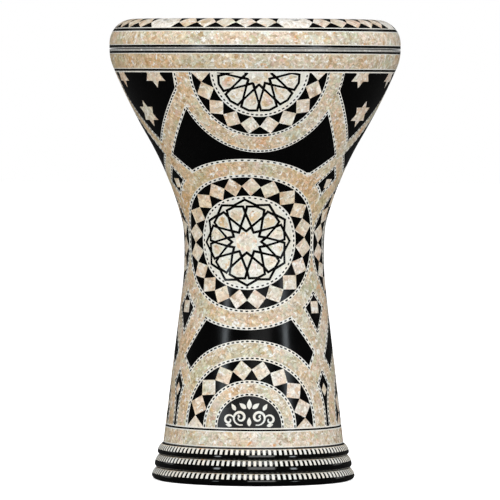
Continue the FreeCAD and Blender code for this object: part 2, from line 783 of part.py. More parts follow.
# coat on the ring: pearl band, stringing, and the black cap with its mosaic
d = q("skin")
cx = q("rim_radius") - q("ring_shoulder_arc")
cz = q("ring_centre_z")
seat = q("ring_seat_z") + q("ring_gap")
ring_coat = revolved("ring_coat", [
    (q("rim_radius"), seat),
    (q("rim_radius"), cz),
    (cx, cz + q("ring_shoulder_arc")),
    (q("lip_radius") + 2.5, cz + q("ring_shoulder_arc")),
    (q("lip_radius") + 2.5, cz + q("ring_shoulder_arc") - d),
    (cx, cz + q("ring_shoulder_arc") - d),
    (q("rim_radius") - d, cz),
    (q("rim_radius") - d, seat)],
    {1: (q("ring_shoulder_arc"), -1), 5: (q("ring_shoulder_arc") - d, 1)}, hidden=True)
rc = ring_coat.Shape
made("ring_stringing", Part.makeCompound([
    slab(rc, VAL["ring_seat_z"] + VAL["ring_gap"], VAL["ring_band_low"]),
    slab(rc, VAL["ring_band_top"] + G, VAL["ring_cap_z"])]))
made("ring_pearl_band", slab(rc, VAL["ring_band_low"] + G, VAL["ring_band_top"]))
cap = slab(rc, VAL["ring_cap_z"] + G, 445.0)
diamonds, pockets, patches, patch_cuts = [], [], [], []
# one row of tall diamonds, set on their corners, between six wide patches
LOW, SIDE, HIGH = 133.8, VAL["diamond_side_radius"], VAL["lip_radius"] + 4.4
PATCH_TURNS = [16.7, 75.3, 136.5, 197.0, 257.5, 318.7]


def cap_prism(pts, turn):
    v = [Vector(x, y, 425.0) for x, y in pts]
    v.append(v[0])
    p = Part.Face(Part.makePolygon(v)).extrude(Vector(0, 0, 30.0))
    p.rotate(Vector(0, 0, 0), Vector(0, 0, 1), turn)
    return p


def fan(turn_radius):
    """Corner points from (turn in degrees, radius) pairs."""
    return [(r * math.sin(math.radians(t)), -r * math.cos(math.radians(t))) for t, r in turn_radius]


half = VAL["patch_half"]
for i in range(6):
    base = PATCH_TURNS[i]
    after = PATCH_TURNS[(i + 1) % 6] + (360.0 if i == 5 else 0.0)
    hexagon = fan([(-5.0, VAL["rim_radius"] + 2), (5.0, VAL["rim_radius"] + 2), (5.0, 134.0), (half, SIDE),
                   (5.0, VAL["lip_radius"] - 2), (-5.0, VAL["lip_radius"] - 2), (-half, SIDE), (-5.0, 134.0)])
    patches.append(cap_prism(hexagon, base))
    patch_cuts.append(cap_prism(grow(hexagon, G), base))
    step = (after - base - 2 * half) / 5.0
    for k in range(5):
        t = base + half + step * (k + 0.5)
        kite = fan([(0.0, LOW), (step / 2.0, SIDE), (0.0, HIGH), (-step / 2.0, SIDE)])
        diamonds.append(cap_prism(grow(kite, -1.5 * G), t))
        pockets.append(cap_prism(grow(kite, -0.5 * G), t))
made("bolt_patches", Part.makeCompound(cap.common(Part.makeCompound(patches)).cut(ring_cuts).Solids))
made("ring_diamonds", Part.makeCompound(cap.common(Part.makeCompound(diamonds)).Solids))
made("ring_cap_ground", Part.makeCompound(
    cap.cut(Part.makeCompound(patch_cuts)).cut(Part.makeCompound(pockets)).Solids))

# ------------------------------------------------------------ plastic head --
crown = (VAL["bearing_outer"] - VAL["mouth_radius"]) / 2.0
qc = (q("bearing_outer") - q("mouth_radius")) / 2.0
ccx = q("mouth_radius") + qc
ccz = q("bearing_top_z") - qc
ri = qc + q("film_gap")
ro = qc + q("film_gap") + q("film")
dx = q("film_foot_radius") - (ccx + ri)
pts = [(ccx, ccz + ri), (ccx + ri, ccz), (q("film_foot_radius"), q("hoop_top_z")),
       (q("film_foot_radius"), q("film_foot_z")),
       (q("film_foot_radius") + q("film"), q("film_foot_z")),
       (q("film_foot_radius") + q("film"), q("hoop_top_z")),
       (ccx + ro, ccz), (ccx, ccz + ro)]
film = revolved("head_collar", pts, {0: (ri, 1), 6: (ro, -1)})
disc = doc.addObject("Part::Cylinder", "head_film")
disc.setExpression("Radius", ccx.text)
disc.setExpression("Height", "Dims.film")
disc.setExpression("Placement.Base.z", (ccz + ri).text)
doc.recompute()
disc.Label = "head_film"
PARTS.append(disc)
w = q("hoop_wall")
hoop = revolved("head_hoop", [
    (q("hoop_inner"), q("hoop_low_z")),
    (q("hoop_outer"), q("hoop_low_z")),
    (q("hoop_outer"), q("hoop_top_z")),
    (q("hoop_outer") - w, q("hoop_top_z")),
    (q("hoop_outer") - w, q("hoop_low_z") + w),
    (q("hoop_inner") + w, q("hoop_low_z") + w),
    (q("hoop_inner") + w, q("hoop_top_z") - 1.0),
    (q("hoop_inner"), q("hoop_top_z") - 1.0)])
fill = revolved("hoop_fill", [
    (q("hoop_inner") + w + 0.12, q("hoop_low_z") + w + 0.05),
    (q("hoop_outer") - w - 0.12, q("hoop_low_z") + w + 0.05),
    (q("hoop_outer") - w - 0.12, q("hoop_top_z") - 1.4),
    (q("hoop_inner") + w + 0.12, q("hoop_top_z") - 1.4)], hidden=True)
resin = doc.addObject("Part::Cut", "head_resin")
resin.Base = fill
resin.Tool = film
doc.recompute()
resin.Label = "head_resin"
PARTS.append(resin)

# ---------------------------------------------------- screws and washers ----
shank = doc.addObject("Part::Cylinder", "screw_shank")
shank.setExpression("Radius", "Dims.screw_radius")
shank.setExpression("Height", "Dims.screw_length")
cyl = doc.addObject("Part::Cylinder", "screw_head")
cyl.setExpression("Radius", "Dims.head_radius")
cyl.setExpression("Height", "Dims.head_height")
cyl.setExpression("Placement.Base.z", "Dims.screw_length")
hexa = doc.addObject("Part::Prism", "screw_socket")
hexa.Polygon = 6
hexa.setExpression("Circumradius", "Dims.socket_width / 1.7320508")
hexa.setExpression("Height", "Dims.socket_depth + 1")
hexa.setExpression("Placement.Base.z", "Dims.screw_length + Dims.head_height - Dims.socket_depth")
both = doc.addObject("Part::MultiFuse", "screw_blank")
both.Shapes = [shank, cyl]
socket = doc.addObject("Part::Cut", "screw_master")
socket.Base = both
socket.Tool = hexa
doc.recompute()
edge = [i + 1 for i, e in enumerate(socket.Shape.Edges)
        if e.Curve.__class__.__name__ == "Circle" and abs(e.Curve.Radius - VAL["head_radius"]) < 1e-6
        and e.Curve.Center.z > VAL["screw_length"] + 1]
round_ = doc.addObject("Part::Fillet", "screw_rounded")
round_.Base = socket
round_.Edges = [(i, 0.6, 0.6) for i in edge]
doc.recompute()
top_of_washer = VAL["counterbore_z"] + VAL["washer_thick"]
for i, (x, y, a) in enumerate(screw_places()):
    s = doc.addObject("Part::Feature", "tuning_bolt_%d" % (i + 1))
    s.Shape = round_.Shape.copy()
    s.Placement = Placement(Vector(x, y, top_of_washer - VAL["screw_length"]),
                            Rotation(Vector(0, 0, 1), a))
    s.Label = "tuning_bolt_%d" % (i + 1)
    PARTS.append(s)
disc = doc.addObject("Part::Cylinder", "washer_disc")
disc.setExpression("Radius", "Dims.washer_radius")
disc.setExpression("Height", "Dims.washer_thick - 0.05")
eye = doc.addObject("Part::Cylinder", "washer_eye")
eye.setExpression("Radius", "Dims.screw_clearance")
eye.setExpression("Height", "Dims.washer_thick + 1")
washer = doc.addObject("Part::Cut", "washer_master")
washer.Base = disc
washer.Tool = eye
doc.recompute()
ws = []
for x, y, a in screw_places():
    c = washer.Shape.copy()
    c.translate(Vector(x, y, VAL["counterbore_z"] + 0.02))
    ws.append(c)
made("bolt_washers", Part.makeCompound(ws))

# ------------------------------------------------------------------ checks --
doc.recompute()
for obj in doc.Objects:
    if "Invalid" in obj.State or "Error" in obj.State:
        raise RuntimeError("%s: %s" % (obj.Name, obj.State))
for obj in PARTS:
    if obj.Shape.isNull() or not obj.Shape.isValid():
        raise RuntimeError("bad shape: " + obj.Label)
os.makedirs("parts", exist_ok=True)
for obj in PARTS:
    obj.Shape.exportStep(os.path.join("parts", obj.Label + ".step"))
    print(obj.Label, len(obj.Shape.Solids), round(obj.Shape.Volume / 1000.0, 2))
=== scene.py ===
import bpy
import math
import random
import numpy as np
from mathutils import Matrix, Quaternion, Vector
from mathutils.geometry import delaunay_2d_cdt


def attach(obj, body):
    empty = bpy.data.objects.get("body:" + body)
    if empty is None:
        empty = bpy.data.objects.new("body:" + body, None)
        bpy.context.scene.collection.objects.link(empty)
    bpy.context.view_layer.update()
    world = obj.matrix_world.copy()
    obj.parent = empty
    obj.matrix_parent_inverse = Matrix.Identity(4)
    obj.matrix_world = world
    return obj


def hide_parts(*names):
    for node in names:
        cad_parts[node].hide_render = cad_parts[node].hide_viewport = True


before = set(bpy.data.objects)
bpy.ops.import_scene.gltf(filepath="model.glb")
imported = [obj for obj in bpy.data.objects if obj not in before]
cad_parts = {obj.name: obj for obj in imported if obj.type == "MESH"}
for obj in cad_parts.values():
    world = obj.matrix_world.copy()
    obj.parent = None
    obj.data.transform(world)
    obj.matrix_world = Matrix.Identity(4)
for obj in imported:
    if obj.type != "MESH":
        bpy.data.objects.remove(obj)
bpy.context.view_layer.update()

MM = 0.001
rnd = random.Random(11)

# ============================================================== profiles ====
# The goblet's outer profile (millimetres): tangent arcs from the rim down and
# a straight skirt.  s runs along the surface, 0 at the rim's top, negative
# going down.
ARCS = [(43.03, 22.992, 1), (597.52, 30.194, 1), (321.67, 15.073, -1),
        (63.205, 4.072, -1), (298.72, -6.835, -1)]


class Profile:
    def __init__(self, s, r, z, nr, nz):
        o = np.argsort(s)
        self.s, self.r, self.z = np.array(s)[o], np.array(r)[o], np.array(z)[o]
        self.nr, self.nz = np.array(nr)[o], np.array(nz)[o]
        zo = np.argsort(self.z, kind="stable")
        self.zz, self.zs = self.z[zo], self.s[zo]

    def at(self, s):
        return (np.interp(s, self.s, self.r), np.interp(s, self.s, self.z),
                np.interp(s, self.s, self.nr), np.interp(s, self.s, self.nz))

    def s_of_z(self, z):
        return float(np.interp(z, self.zz, self.zs))

    def radius(self, s):
        return float(np.interp(s, self.s, self.r))

    def points(self, th, s, off=0.0):
        """Positions (metres) and normals for arrays of degrees and arc lengths."""
        r, z, nr, nz = self.at(s)
        a = np.radians(th)
        rr = r + nr * off
        zz = z + nz * off
        p = np.stack([rr * np.sin(a), -rr * np.cos(a), zz], axis=-1) * MM
        n = np.stack([nr * np.sin(a), -nr * np.cos(a), nz], axis=-1)
        n /= np.linalg.norm(n, axis=-1, keepdims=True)
        return p, n


def shell_profile():
    r, z, phi, s = 139.15, 411.5, 0.0, 0.0
    S, R, Z, NR, NZ = [8.0, 0.0], [r, r], [z + 8.0, z], [1.0, 1.0], [0.0, 0.0]
    for rad, end, turn in ARCS:
        a0 = math.radians(phi)
        for j in range(1, 61):
            t = math.radians(phi + (end - phi) * j / 60.0)
            S.append(s - rad * abs(t - a0))
            R.append(r - turn * rad * (math.cos(a0) - math.cos(t)))
            Z.append(z - turn * rad * (math.sin(t) - math.sin(a0)))
            NR.append(math.cos(t))
            NZ.append(-math.sin(t))
        s, r, z, phi = S[-1], R[-1], Z[-1], end
    t = math.radians(phi)
    L = 165.0
    S.append(s - L)
    R.append(r - L * math.sin(t))
    Z.append(z - L * math.cos(t))
    NR.append(math.cos(t))
    NZ.append(-math.sin(t))
    return Profile(S, R, Z, NR, NZ)


def ring_profile():
    cx, cz, rad = 139.15 - 22.95, 417.05, 22.95
    S, R, Z, NR, NZ = [0.0], [139.15], [412.0], [1.0], [0.0]
    s = cz - 412.0
    for j in range(0, 61):
        a = math.pi / 2 * j / 60.0
        S.append(s + rad * a)
        R.append(cx + rad * math.cos(a))
        Z.append(cz + rad * math.sin(a))
        NR.append(math.cos(a))
        NZ.append(math.sin(a))
    S.append(S[-1] + cx - 111.9)
    R.append(111.9)
    Z.append(440.0)
    NR.append(0.0)
    NZ.append(1.0)
    return Profile(S, R, Z, NR, NZ)


def arc_chain(points):
    """Profile through (r, z) points; each later entry is (r, z, radius) for an
    arc that bulges outwards, or (r, z, 0) for a straight run."""
    S, R, Z, NR, NZ = [], [], [], [], []
    s = 0.0
    for (r0, z0, _), (r1, z1, rad) in zip(points, points[1:]):
        L = math.hypot(r1 - r0, z1 - z0)
        if rad:
            nx, nz = -(z1 - z0) / L, (r1 - r0) / L       # left of the run
            h = math.sqrt(rad * rad - L * L / 4)
            cx, cz = (r0 + r1) / 2 - nx * h, (z0 + z1) / 2 - nz * h
            a0, a1 = math.atan2(z0 - cz, r0 - cx), math.atan2(z1 - cz, r1 - cx)
            n = 24
            for j in range(n + 1):
                a = a0 + (a1 - a0) * j / n
                S.append(s + rad * abs(a - a0))
                R.append(cx + rad * math.cos(a))
                Z.append(cz + rad * math.sin(a))
                NR.append(math.cos(a))
                NZ.append(math.sin(a))
            s += rad * abs(a1 - a0)
        else:
            nx, nz = -(z1 - z0) / L, (r1 - r0) / L
            for t in (0.0, 1.0):
                S.append(s + L * t)
                R.append(r0 + (r1 - r0) * t)
                Z.append(z0 + (z1 - z0) * t)
                NR.append(nx)
                NZ.append(nz)
            s += L
        s += 1e-4
    return Profile(S, R, Z, NR, NZ)


SHELL = shell_profile()
RING = ring_profile()


# The mosaic was laid by hand: rows creep round the drum by a few degrees.
CREEP_Z = [0.0, 54.5, 88.5, 127.0, 163.2, 228.2, 284.7, 310.5, 350.7, 390.5, 480.0]
CREEP_A = [-1.6, -2.8, -3.5, -4.0, -5.2, -5.5, -2.4, -0.75, -0.25, 2.0, 2.6]
SPAN_Z = [54.0, 88.5, 163.0, 228.0, 284.0, 325.0, 350.0, 390.0]
SPAN_A = [60.4, 60.5, 59.9, 60.6, 61.5, 61.5, 61.1, 61.0]


def creep(z):
    return float(np.interp(z, CREEP_Z, CREEP_A))


def half_span(z):
    return float(np.interp(z, SPAN_Z, SPAN_A))


def seam_turn(z, k):
    """True turn of the seam between columns k and k+1."""
    c, m = creep(z), half_span(z)
    return {0: c + m, 1: c + 180.0, 2: c + 360.0 - m}[k % 3] + 360.0 * (k // 3)


def column_turn(z, k):
    c, m = creep(z), half_span(z)
    if k % 3 == 0:
        return c + 120.0 * k
    d = (180.0 + m) / 2.0
    return {1: c + d, 2: c + 360.0 - d}[k % 3]


# ============================================================= materials ====
def new_mat(name):
    m = bpy.data.materials.new(name)
    m.use_nodes = True
    nt = m.node_tree
    b = nt.nodes.get("Principled BSDF")
    return m, nt, b


def link(nt, a, b):
    nt.links.new(a, b)


def ramp(nt, stops, interp="LINEAR"):
    n = nt.nodes.new("ShaderNodeValToRGB")
    n.color_ramp.interpolation = interp
    el = n.color_ramp.elements
    while len(el) > 1:
        el.remove(el[-1])
    el[0].position, el[0].color = stops[0][0], tuple(stops[0][1]) + (1.0,)
    for p, c in stops[1:]:
        e = el.new(p)
        e.color = tuple(c) + (1.0,)
    return n


def srgb(r, g, b):
    out = []
    for v in (r, g, b):
        v /= 255.0
        out.append(v / 12.92 if v <= 0.04045 else ((v + 0.055) / 1.055) ** 2.4)
    return tuple(out)


def coords(nt, scale=1.0):
    tc = nt.nodes.new("ShaderNodeTexCoord")
    mp = nt.nodes.new("ShaderNodeMapping")
    mp.inputs["Scale"].default_value = (scale, scale, scale)
    link(nt, tc.outputs["Object"], mp.inputs["Vector"])
    return mp.outputs["Vector"]


def noise(nt, vec, scale, detail=3.0, rough=0.55, dist=0.0):
    n = nt.nodes.new("ShaderNodeTexNoise")
    n.inputs["Scale"].default_value = scale
    n.inputs["Detail"].default_value = detail
    n.inputs["Roughness"].default_value = rough
    n.inputs["Distortion"].default_value = dist
    link(nt, vec, n.inputs["Vector"])
    return n


def mix_rgb(nt, fac, a, b, kind="MIX"):
    n = nt.nodes.new("ShaderNodeMix")
    n.data_type = "RGBA"
    n.blend_type = kind
    if isinstance(fac, (int, float)):
        n.inputs[0].default_value = fac
    else:
        link(nt, fac, n.inputs[0])
    for i, v in ((6, a), (7, b)):
        if isinstance(v, tuple):
            n.inputs[i].default_value = v + (1.0,)
        else:
            link(nt, v, n.inputs[i])
    return n.outputs[2]


def math_node(nt, op, a, b=0.0, clamp=False):
    n = nt.nodes.new("ShaderNodeMath")
    n.operation = op
    n.use_clamp = clamp
    for i, v in ((0, a), (1, b)):
        if isinstance(v, (int, float)):
            n.inputs[i].default_value = v
        else:
            link(nt, v, n.inputs[i])
    return n.outputs[0]


def bump(nt, height, strength, distance, bsdf):
    n = nt.nodes.new("ShaderNodeBump")
    n.inputs["Strength"].default_value = strength
    n.inputs["Distance"].default_value = distance
    link(nt, height, n.inputs["Height"])
    link(nt, n.outputs["Normal"], bsdf.inputs["Normal"])


def cells(nt, vec, scale, edge=False):
    n = nt.nodes.new("ShaderNodeTexVoronoi")
    n.inputs["Scale"].default_value = scale
    n.inputs["Randomness"].default_value = 1.0
    if edge:
        n.feature = "DISTANCE_TO_EDGE"
    link(nt, vec, n.inputs["Vector"])
    return n


def moved(nt, vec, d):
    n = nt.nodes.new("ShaderNodeVectorMath")
    n.operation = "ADD"
    n.inputs[1].default_value = (d, d * 0.7, -d * 0.4)
    link(nt, vec, n.inputs[0])
    return n.outputs[0]


def fleck(nt, col, vec, scale, lo, hi, amount, colour):
    """Patches of another colour where a noise runs high."""
    n = noise(nt, vec, scale, 3.0, 0.62, 0.6)
    r = ramp(nt, [(lo, (0, 0, 0)), (hi, (1, 1, 1))])
    link(nt, n.outputs["Fac"], r.inputs["Fac"])
    return mix_rgb(nt, math_node(nt, "MULTIPLY", r.outputs["Color"], amount), col, colour)


# warm scales the tints, the warm-cool drift, the side tint and the painted shade under the bowl
def pearl(name, base, light, dark, chip=320.0, seams=0.35, warm=1.0, seed=0.0, stain=1.0):
    """Mother-of-pearl: small irregular chips with green, pink and gold lights."""
    m, nt, b = new_mat(name)
    v = coords(nt)
    warpn = noise(nt, v, 110.0, 3.0, 0.6)
    warp = nt.nodes.new("ShaderNodeVectorMath")
    warp.operation = "MULTIPLY_ADD"
    link(nt, warpn.outputs["Color"], warp.inputs[0])
    warp.inputs[1].default_value = (0.011, 0.011, 0.011)
    link(nt, v, warp.inputs[2])
    w = moved(nt, warp.outputs[0], seed)
    vo = cells(nt, w, chip)
    sep = nt.nodes.new("ShaderNodeSeparateColor")
    link(nt, vo.outputs["Color"], sep.inputs[0])
    tone = ramp(nt, [(0.0, dark), (0.12, dark), (0.30, base), (0.62, base), (0.80, light), (1.0, light)])
    link(nt, sep.outputs[0], tone.inputs["Fac"])
    tints = ramp(nt, [(0.0, srgb(218, 200, 168)), (0.24, srgb(238, 222, 198)), (0.40, srgb(216, 220, 192)),
                      (0.50, srgb(226, 210, 184)), (0.62, srgb(236, 208, 192)), (0.76, srgb(228, 196, 146)),
                      (0.84, srgb(196, 160, 108)), (0.92, srgb(226, 228, 220)), (1.0, srgb(244, 236, 226))])
    link(nt, sep.outputs[1], tints.inputs["Fac"])
    col = mix_rgb(nt, 0.5 * warm, tone.outputs["Color"], tints.outputs["Color"])
    # splinters within the chips
    vf = cells(nt, w, chip * 2.1)
    sf = nt.nodes.new("ShaderNodeSeparateColor")
    link(nt, vf.outputs["Color"], sf.inputs[0])
    fine = ramp(nt, [(0.0, (0.62, 0.58, 0.52)), (0.28, (0.92, 0.90, 0.88)), (0.7, (1.02, 1.02, 1.02)), (1.0, (1.24, 1.24, 1.24))])
    link(nt, sf.outputs[0], fine.inputs["Fac"])
    col = mix_rgb(nt, 0.8, col, mix_rgb(nt, 1.0, col, fine.outputs["Color"], "MULTIPLY"))
    # fine growth streaks
    st = noise(nt, w, 620.0, 4.0, 0.7, 1.2)
    streak = ramp(nt, [(0.30, (0.60, 0.57, 0.53)), (0.47, (1.0, 1.0, 1.0)), (0.56, (1.0, 1.0, 1.0)), (0.72, (1.28, 1.27, 1.25))])
    link(nt, st.outputs["Fac"], streak.inputs["Fac"])
    col = mix_rgb(nt, 0.75, col, mix_rgb(nt, 1.0, col, streak.outputs["Color"], "MULTIPLY"))
    # broad drift from warm to cool
    dr = noise(nt, v, 34.0, 2.0, 0.5)
    drift = ramp(nt, [(0.32, srgb(255, 238, 220)), (0.5, (1.0, 1.0, 1.0)), (0.66, srgb(238, 250, 246))])
    link(nt, dr.outputs["Fac"], drift.inputs["Fac"])
    col = mix_rgb(nt, min(1.0, warm), col, drift.outputs["Color"], "MULTIPLY")
    # painted shade: a darker, browner band at the height of the bowl's underside; and the colour turns warmer towards
    # one side, by x
    sx = nt.nodes.new("ShaderNodeSeparateXYZ")
    link(nt, v, sx.inputs[0])
    side = math_node(nt, "ADD", math_node(nt, "MULTIPLY", sx.outputs[0], 4.0), math_node(nt, "MULTIPLY", noise(nt, v, 22.0, 2.0, 0.5).outputs["Fac"], 0.9))
    warmer = ramp(nt, [(0.0, srgb(255, 243, 224)), (0.20, srgb(255, 249, 238)), (0.42, srgb(250, 251, 254)), (1.0, srgb(252, 252, 252))])
    link(nt, side, warmer.inputs["Fac"])
    col = mix_rgb(nt, min(1.0, warm), col, warmer.outputs["Color"], "MULTIPLY")
    # painted shade under the bowl: the colour is darkened and browned in this band of height
    height = ramp(nt, [(0.23, (1.0, 1.0, 1.0)), (0.262, srgb(255, 237, 208)), (0.285, srgb(255, 247, 233)), (0.31, (1.0, 1.0, 1.0))])
    link(nt, sx.outputs[2], height.inputs["Fac"])
    col = mix_rgb(nt, min(1.0, warm), col, height.outputs["Color"], "MULTIPLY")
    # rust, green, pink and olive-brown flecks, then painted highlights: white glints
    f = moved(nt, v, seed + 1.7)
    col = fleck(nt, col, moved(nt, f, 0.3), 120.0, 0.57, 0.68, 0.50 * stain, srgb(222, 184, 118))
    col = fleck(nt, col, moved(nt, f, 2.1), 150.0, 0.57, 0.67, 0.48 * stain, srgb(196, 208, 170))
    col = fleck(nt, col, moved(nt, f, 3.9), 140.0, 0.57, 0.68, 0.46 * stain, srgb(238, 200, 192))
    col = fleck(nt, col, moved(nt, f, 5.3), 280.0, 0.62, 0.68, 0.60 * stain, srgb(150, 118, 72))
    col = fleck(nt, col, moved(nt, f, 6.1), 85.0, 0.63, 0.71, 0.62 * stain, srgb(222, 148, 72))
    col = fleck(nt, col, moved(nt, f, 9.1), 120.0, 0.665, 0.72, 0.68 * stain, srgb(120, 96, 50))
    # painted highlights: near-white glints laid into the base colour
    col = fleck(nt, col, moved(nt, f, 7.7), 240.0, 0.565, 0.65, 0.90, srgb(255, 254, 250))
    # hair-thin resin seams between chips
    ve = cells(nt, w, chip, True)
    edge = ramp(nt, [(0.0, (1, 1, 1)), (0.09, (0, 0, 0))])
    link(nt, ve.outputs["Distance"], edge.inputs["Fac"])
    col = mix_rgb(nt, math_node(nt, "MULTIPLY", edge.outputs["Color"], seams), col, srgb(122, 98, 72))
    link(nt, col, b.inputs["Base Color"])
    ro = ramp(nt, [(0.0, (0.30, 0.30, 0.30)), (1.0, (0.52, 0.52, 0.52))])
    link(nt, sep.outputs[2], ro.inputs["Fac"])
    link(nt, ro.outputs["Color"], b.inputs["Roughness"])
    b.inputs["Metallic"].default_value = 0.0
    b.inputs["IOR"].default_value = 1.5
    b.inputs["Specular IOR Level"].default_value = 0.35
    b.inputs["Coat Weight"].default_value = 0.25
    b.inputs["Coat Roughness"].default_value = 0.22
    # each chip catches the light at its own slight tilt
    bump(nt, math_node(nt, "ADD", math_node(nt, "MULTIPLY", st.outputs["Fac"], 0.6), sep.outputs[0]), 0.16, 0.0006, b)
    return m


def ivory(name, col=(232, 226, 212), var=0.5):
    m, nt, b = new_mat(name)
    v = coords(nt)
    n1 = noise(nt, v, 420.0, 3.0, 0.6)
    n2 = noise(nt, v, 60.0, 2.0, 0.5)
    r1 = ramp(nt, [(0.32, tuple(0.88 * c for c in srgb(*col))), (0.55, srgb(*col)), (0.75, srgb(252, 250, 246))])
    link(nt, n1.outputs["Fac"], r1.inputs["Fac"])
    r2 = ramp(nt, [(0.35, srgb(255, 249, 240)), (0.65, srgb(250, 252, 251))])
    link(nt, n2.outputs["Fac"], r2.inputs["Fac"])
    link(nt, mix_rgb(nt, 1.0, r1.outputs["Color"], r2.outputs["Color"], "MULTIPLY"), b.inputs["Base Color"])
    rr = ramp(nt, [(0.3, (0.24, 0.24, 0.24)), (0.7, (0.36, 0.36, 0.36))])
    link(nt, n1.outputs["Fac"], rr.inputs["Fac"])
    link(nt, rr.outputs["Color"], b.inputs["Roughness"])
    b.inputs["Specular IOR Level"].default_value = 0.35
    b.inputs["Coat Weight"].default_value = 0.25
    b.inputs["Coat Roughness"].default_value = 0.2
    bump(nt, n1.outputs["Fac"], 0.05, 0.0004, b)
    return m


def resin(name, rough=0.06, lift=0.0015, spec=0.5):
    """Polished black resin with the faintest haze and swirl of polishing."""
    m, nt, b = new_mat(name)
    v = coords(nt)
    n1 = noise(nt, v, 26.0, 4.0, 0.6)
    n2 = noise(nt, v, 900.0, 2.0, 0.5)
    c = ramp(nt, [(0.3, (lift, lift, lift * 1.05)), (0.7, (lift * 1.7, lift * 1.65, lift * 1.6))])
    link(nt, n1.outputs["Fac"], c.inputs["Fac"])
    link(nt, c.outputs["Color"], b.inputs["Base Color"])
    r = ramp(nt, [(0.35, (rough, rough, rough)), (0.7, (rough * 2.0, rough * 2.0, rough * 2.0))])
    link(nt, n1.outputs["Fac"], r.inputs["Fac"])
    link(nt, r.outputs["Color"], b.inputs["Roughness"])
    b.inputs["Specular IOR Level"].default_value = spec
    bump(nt, n2.outputs["Fac"], 0.02, 0.0002, b)
    return m


def metal(name, col, rough, scale=500.0, cast=0.0):
    m, nt, b = new_mat(name)
    v = coords(nt)
    n1 = noise(nt, v, scale, 4.0, 0.6)
    n2 = noise(nt, v, 45.0, 3.0, 0.55)
    c = ramp(nt, [(0.3, tuple(0.78 * x for x in col)), (0.7, tuple(min(1.0, 1.1 * x) for x in col))])
    link(nt, mix_rgb(nt, 0.5, n1.outputs["Fac"], n2.outputs["Fac"]), c.inputs["Fac"])
    link(nt, c.outputs["Color"], b.inputs["Base Color"])
    r = ramp(nt, [(0.3, (rough * 0.75,) * 3), (0.7, (min(1.0, rough * 1.3),) * 3)])
    link(nt, n1.outputs["Fac"], r.inputs["Fac"])
    link(nt, r.outputs["Color"], b.inputs["Roughness"])
    b.inputs["Metallic"].default_value = 1.0
    bump(nt, n1.outputs["Fac"], 0.08 + cast, 0.0004 + 0.0008 * cast, b)
    return m


def film_mat():
    """Milky plastic head: faint cloudiness, wiped marks where it is played."""
    m, nt, b = new_mat("head_film_plastic")
    v = coords(nt)
    n1 = noise(nt, v, 14.0, 4.0, 0.6)
    n2 = noise(nt, v, 700.0, 3.0, 0.6)
    c = ramp(nt, [(0.3, srgb(222, 222, 218)), (0.6, srgb(236, 236, 232)), (0.8, srgb(242, 242, 240))])
    link(nt, n1.outputs["Fac"], c.inputs["Fac"])
    link(nt, c.outputs["Color"], b.inputs["Base Color"])
    r = ramp(nt, [(0.3, (0.30, 0.30, 0.30)), (0.7, (0.46, 0.46, 0.46))])
    link(nt, n1.outputs["Fac"], r.inputs["Fac"])
    link(nt, r.outputs["Color"], b.inputs["Roughness"])
    bump(nt, n2.outputs["Fac"], 0.10, 0.0003, b)
    return m


BASE, LIGHT, DARK = srgb(230, 214, 188), srgb(250, 244, 232), srgb(178, 154, 118)
M = {
    "pearl": pearl("pearl_strapwork", BASE, LIGHT, DARK, 300.0, 0.30, 1.0),
    "pearl_ring": pearl("pearl_bands", srgb(236, 227, 211), srgb(252, 248, 241), srgb(188, 166, 138), 270.0, 0.20, 0.85, 3.1, 1.3),
    "pearl_tile": pearl("pearl_tiles", srgb(244, 232, 218), srgb(253, 249, 243), srgb(224, 202, 182), 170.0, 0.08, 0.60, 5.7, 0.6),
    "pearl_petal": pearl("pearl_petals", srgb(246, 242, 230), srgb(253, 252, 247), srgb(232, 208, 170), 150.0, 0.03, 0.5, 8.3, 1.15),
    "ivory": ivory("ivory_stringing", (246, 245, 240)),
    "ivory_rose": ivory("ivory_rosette", (240, 239, 232)),
    "pearl_white": pearl("pearl_bolt_patches", srgb(249, 248, 244), srgb(255, 255, 253), srgb(232, 226, 216), 200.0, 0.05, 0.28, 4.4, 0.22),
    "black": resin("black_resin", 0.15, 0.0010, 0.24),
    "lunette": resin("lunette_resin", 0.22, 0.0105, 0.40),
    "bead": resin("black_bead_resin", 0.05, 0.0010, 0.42),
    "seam": ivory("seam_stringing", (176, 176, 174)),
    "cast": metal("cast_aluminium", (0.58, 0.58, 0.59), 0.42, 380.0, 0.25),
    "hoop": metal("hoop_aluminium", (0.74, 0.74, 0.75), 0.28),
    "zinc": metal("zinc_washer", (0.66, 0.66, 0.65), 0.30, 800.0),
    "steel": metal("zinc_plated_steel", (0.70, 0.70, 0.71), 0.24, 900.0),
    "film": film_mat(),
    "glue": ivory("hoop_resin_fill", (204, 192, 160)),
}


# ========================================================= mesh builders ====
def add_object(name, verts, faces, mat, normals=None, body="shell", smooth=True):
    me = bpy.data.meshes.new(name)
    me.from_pydata([tuple(map(float, v)) for v in verts], [], faces)
    me.materials.append(M[mat])
    me.polygons.foreach_set("use_smooth", [smooth] * len(me.polygons))
    me.update()
    if normals is not None:
        me.normals_split_custom_set(normals)
    ob = bpy.data.objects.new(name, me)
    bpy.context.scene.collection.objects.link(ob)
    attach(ob, body)
    return ob


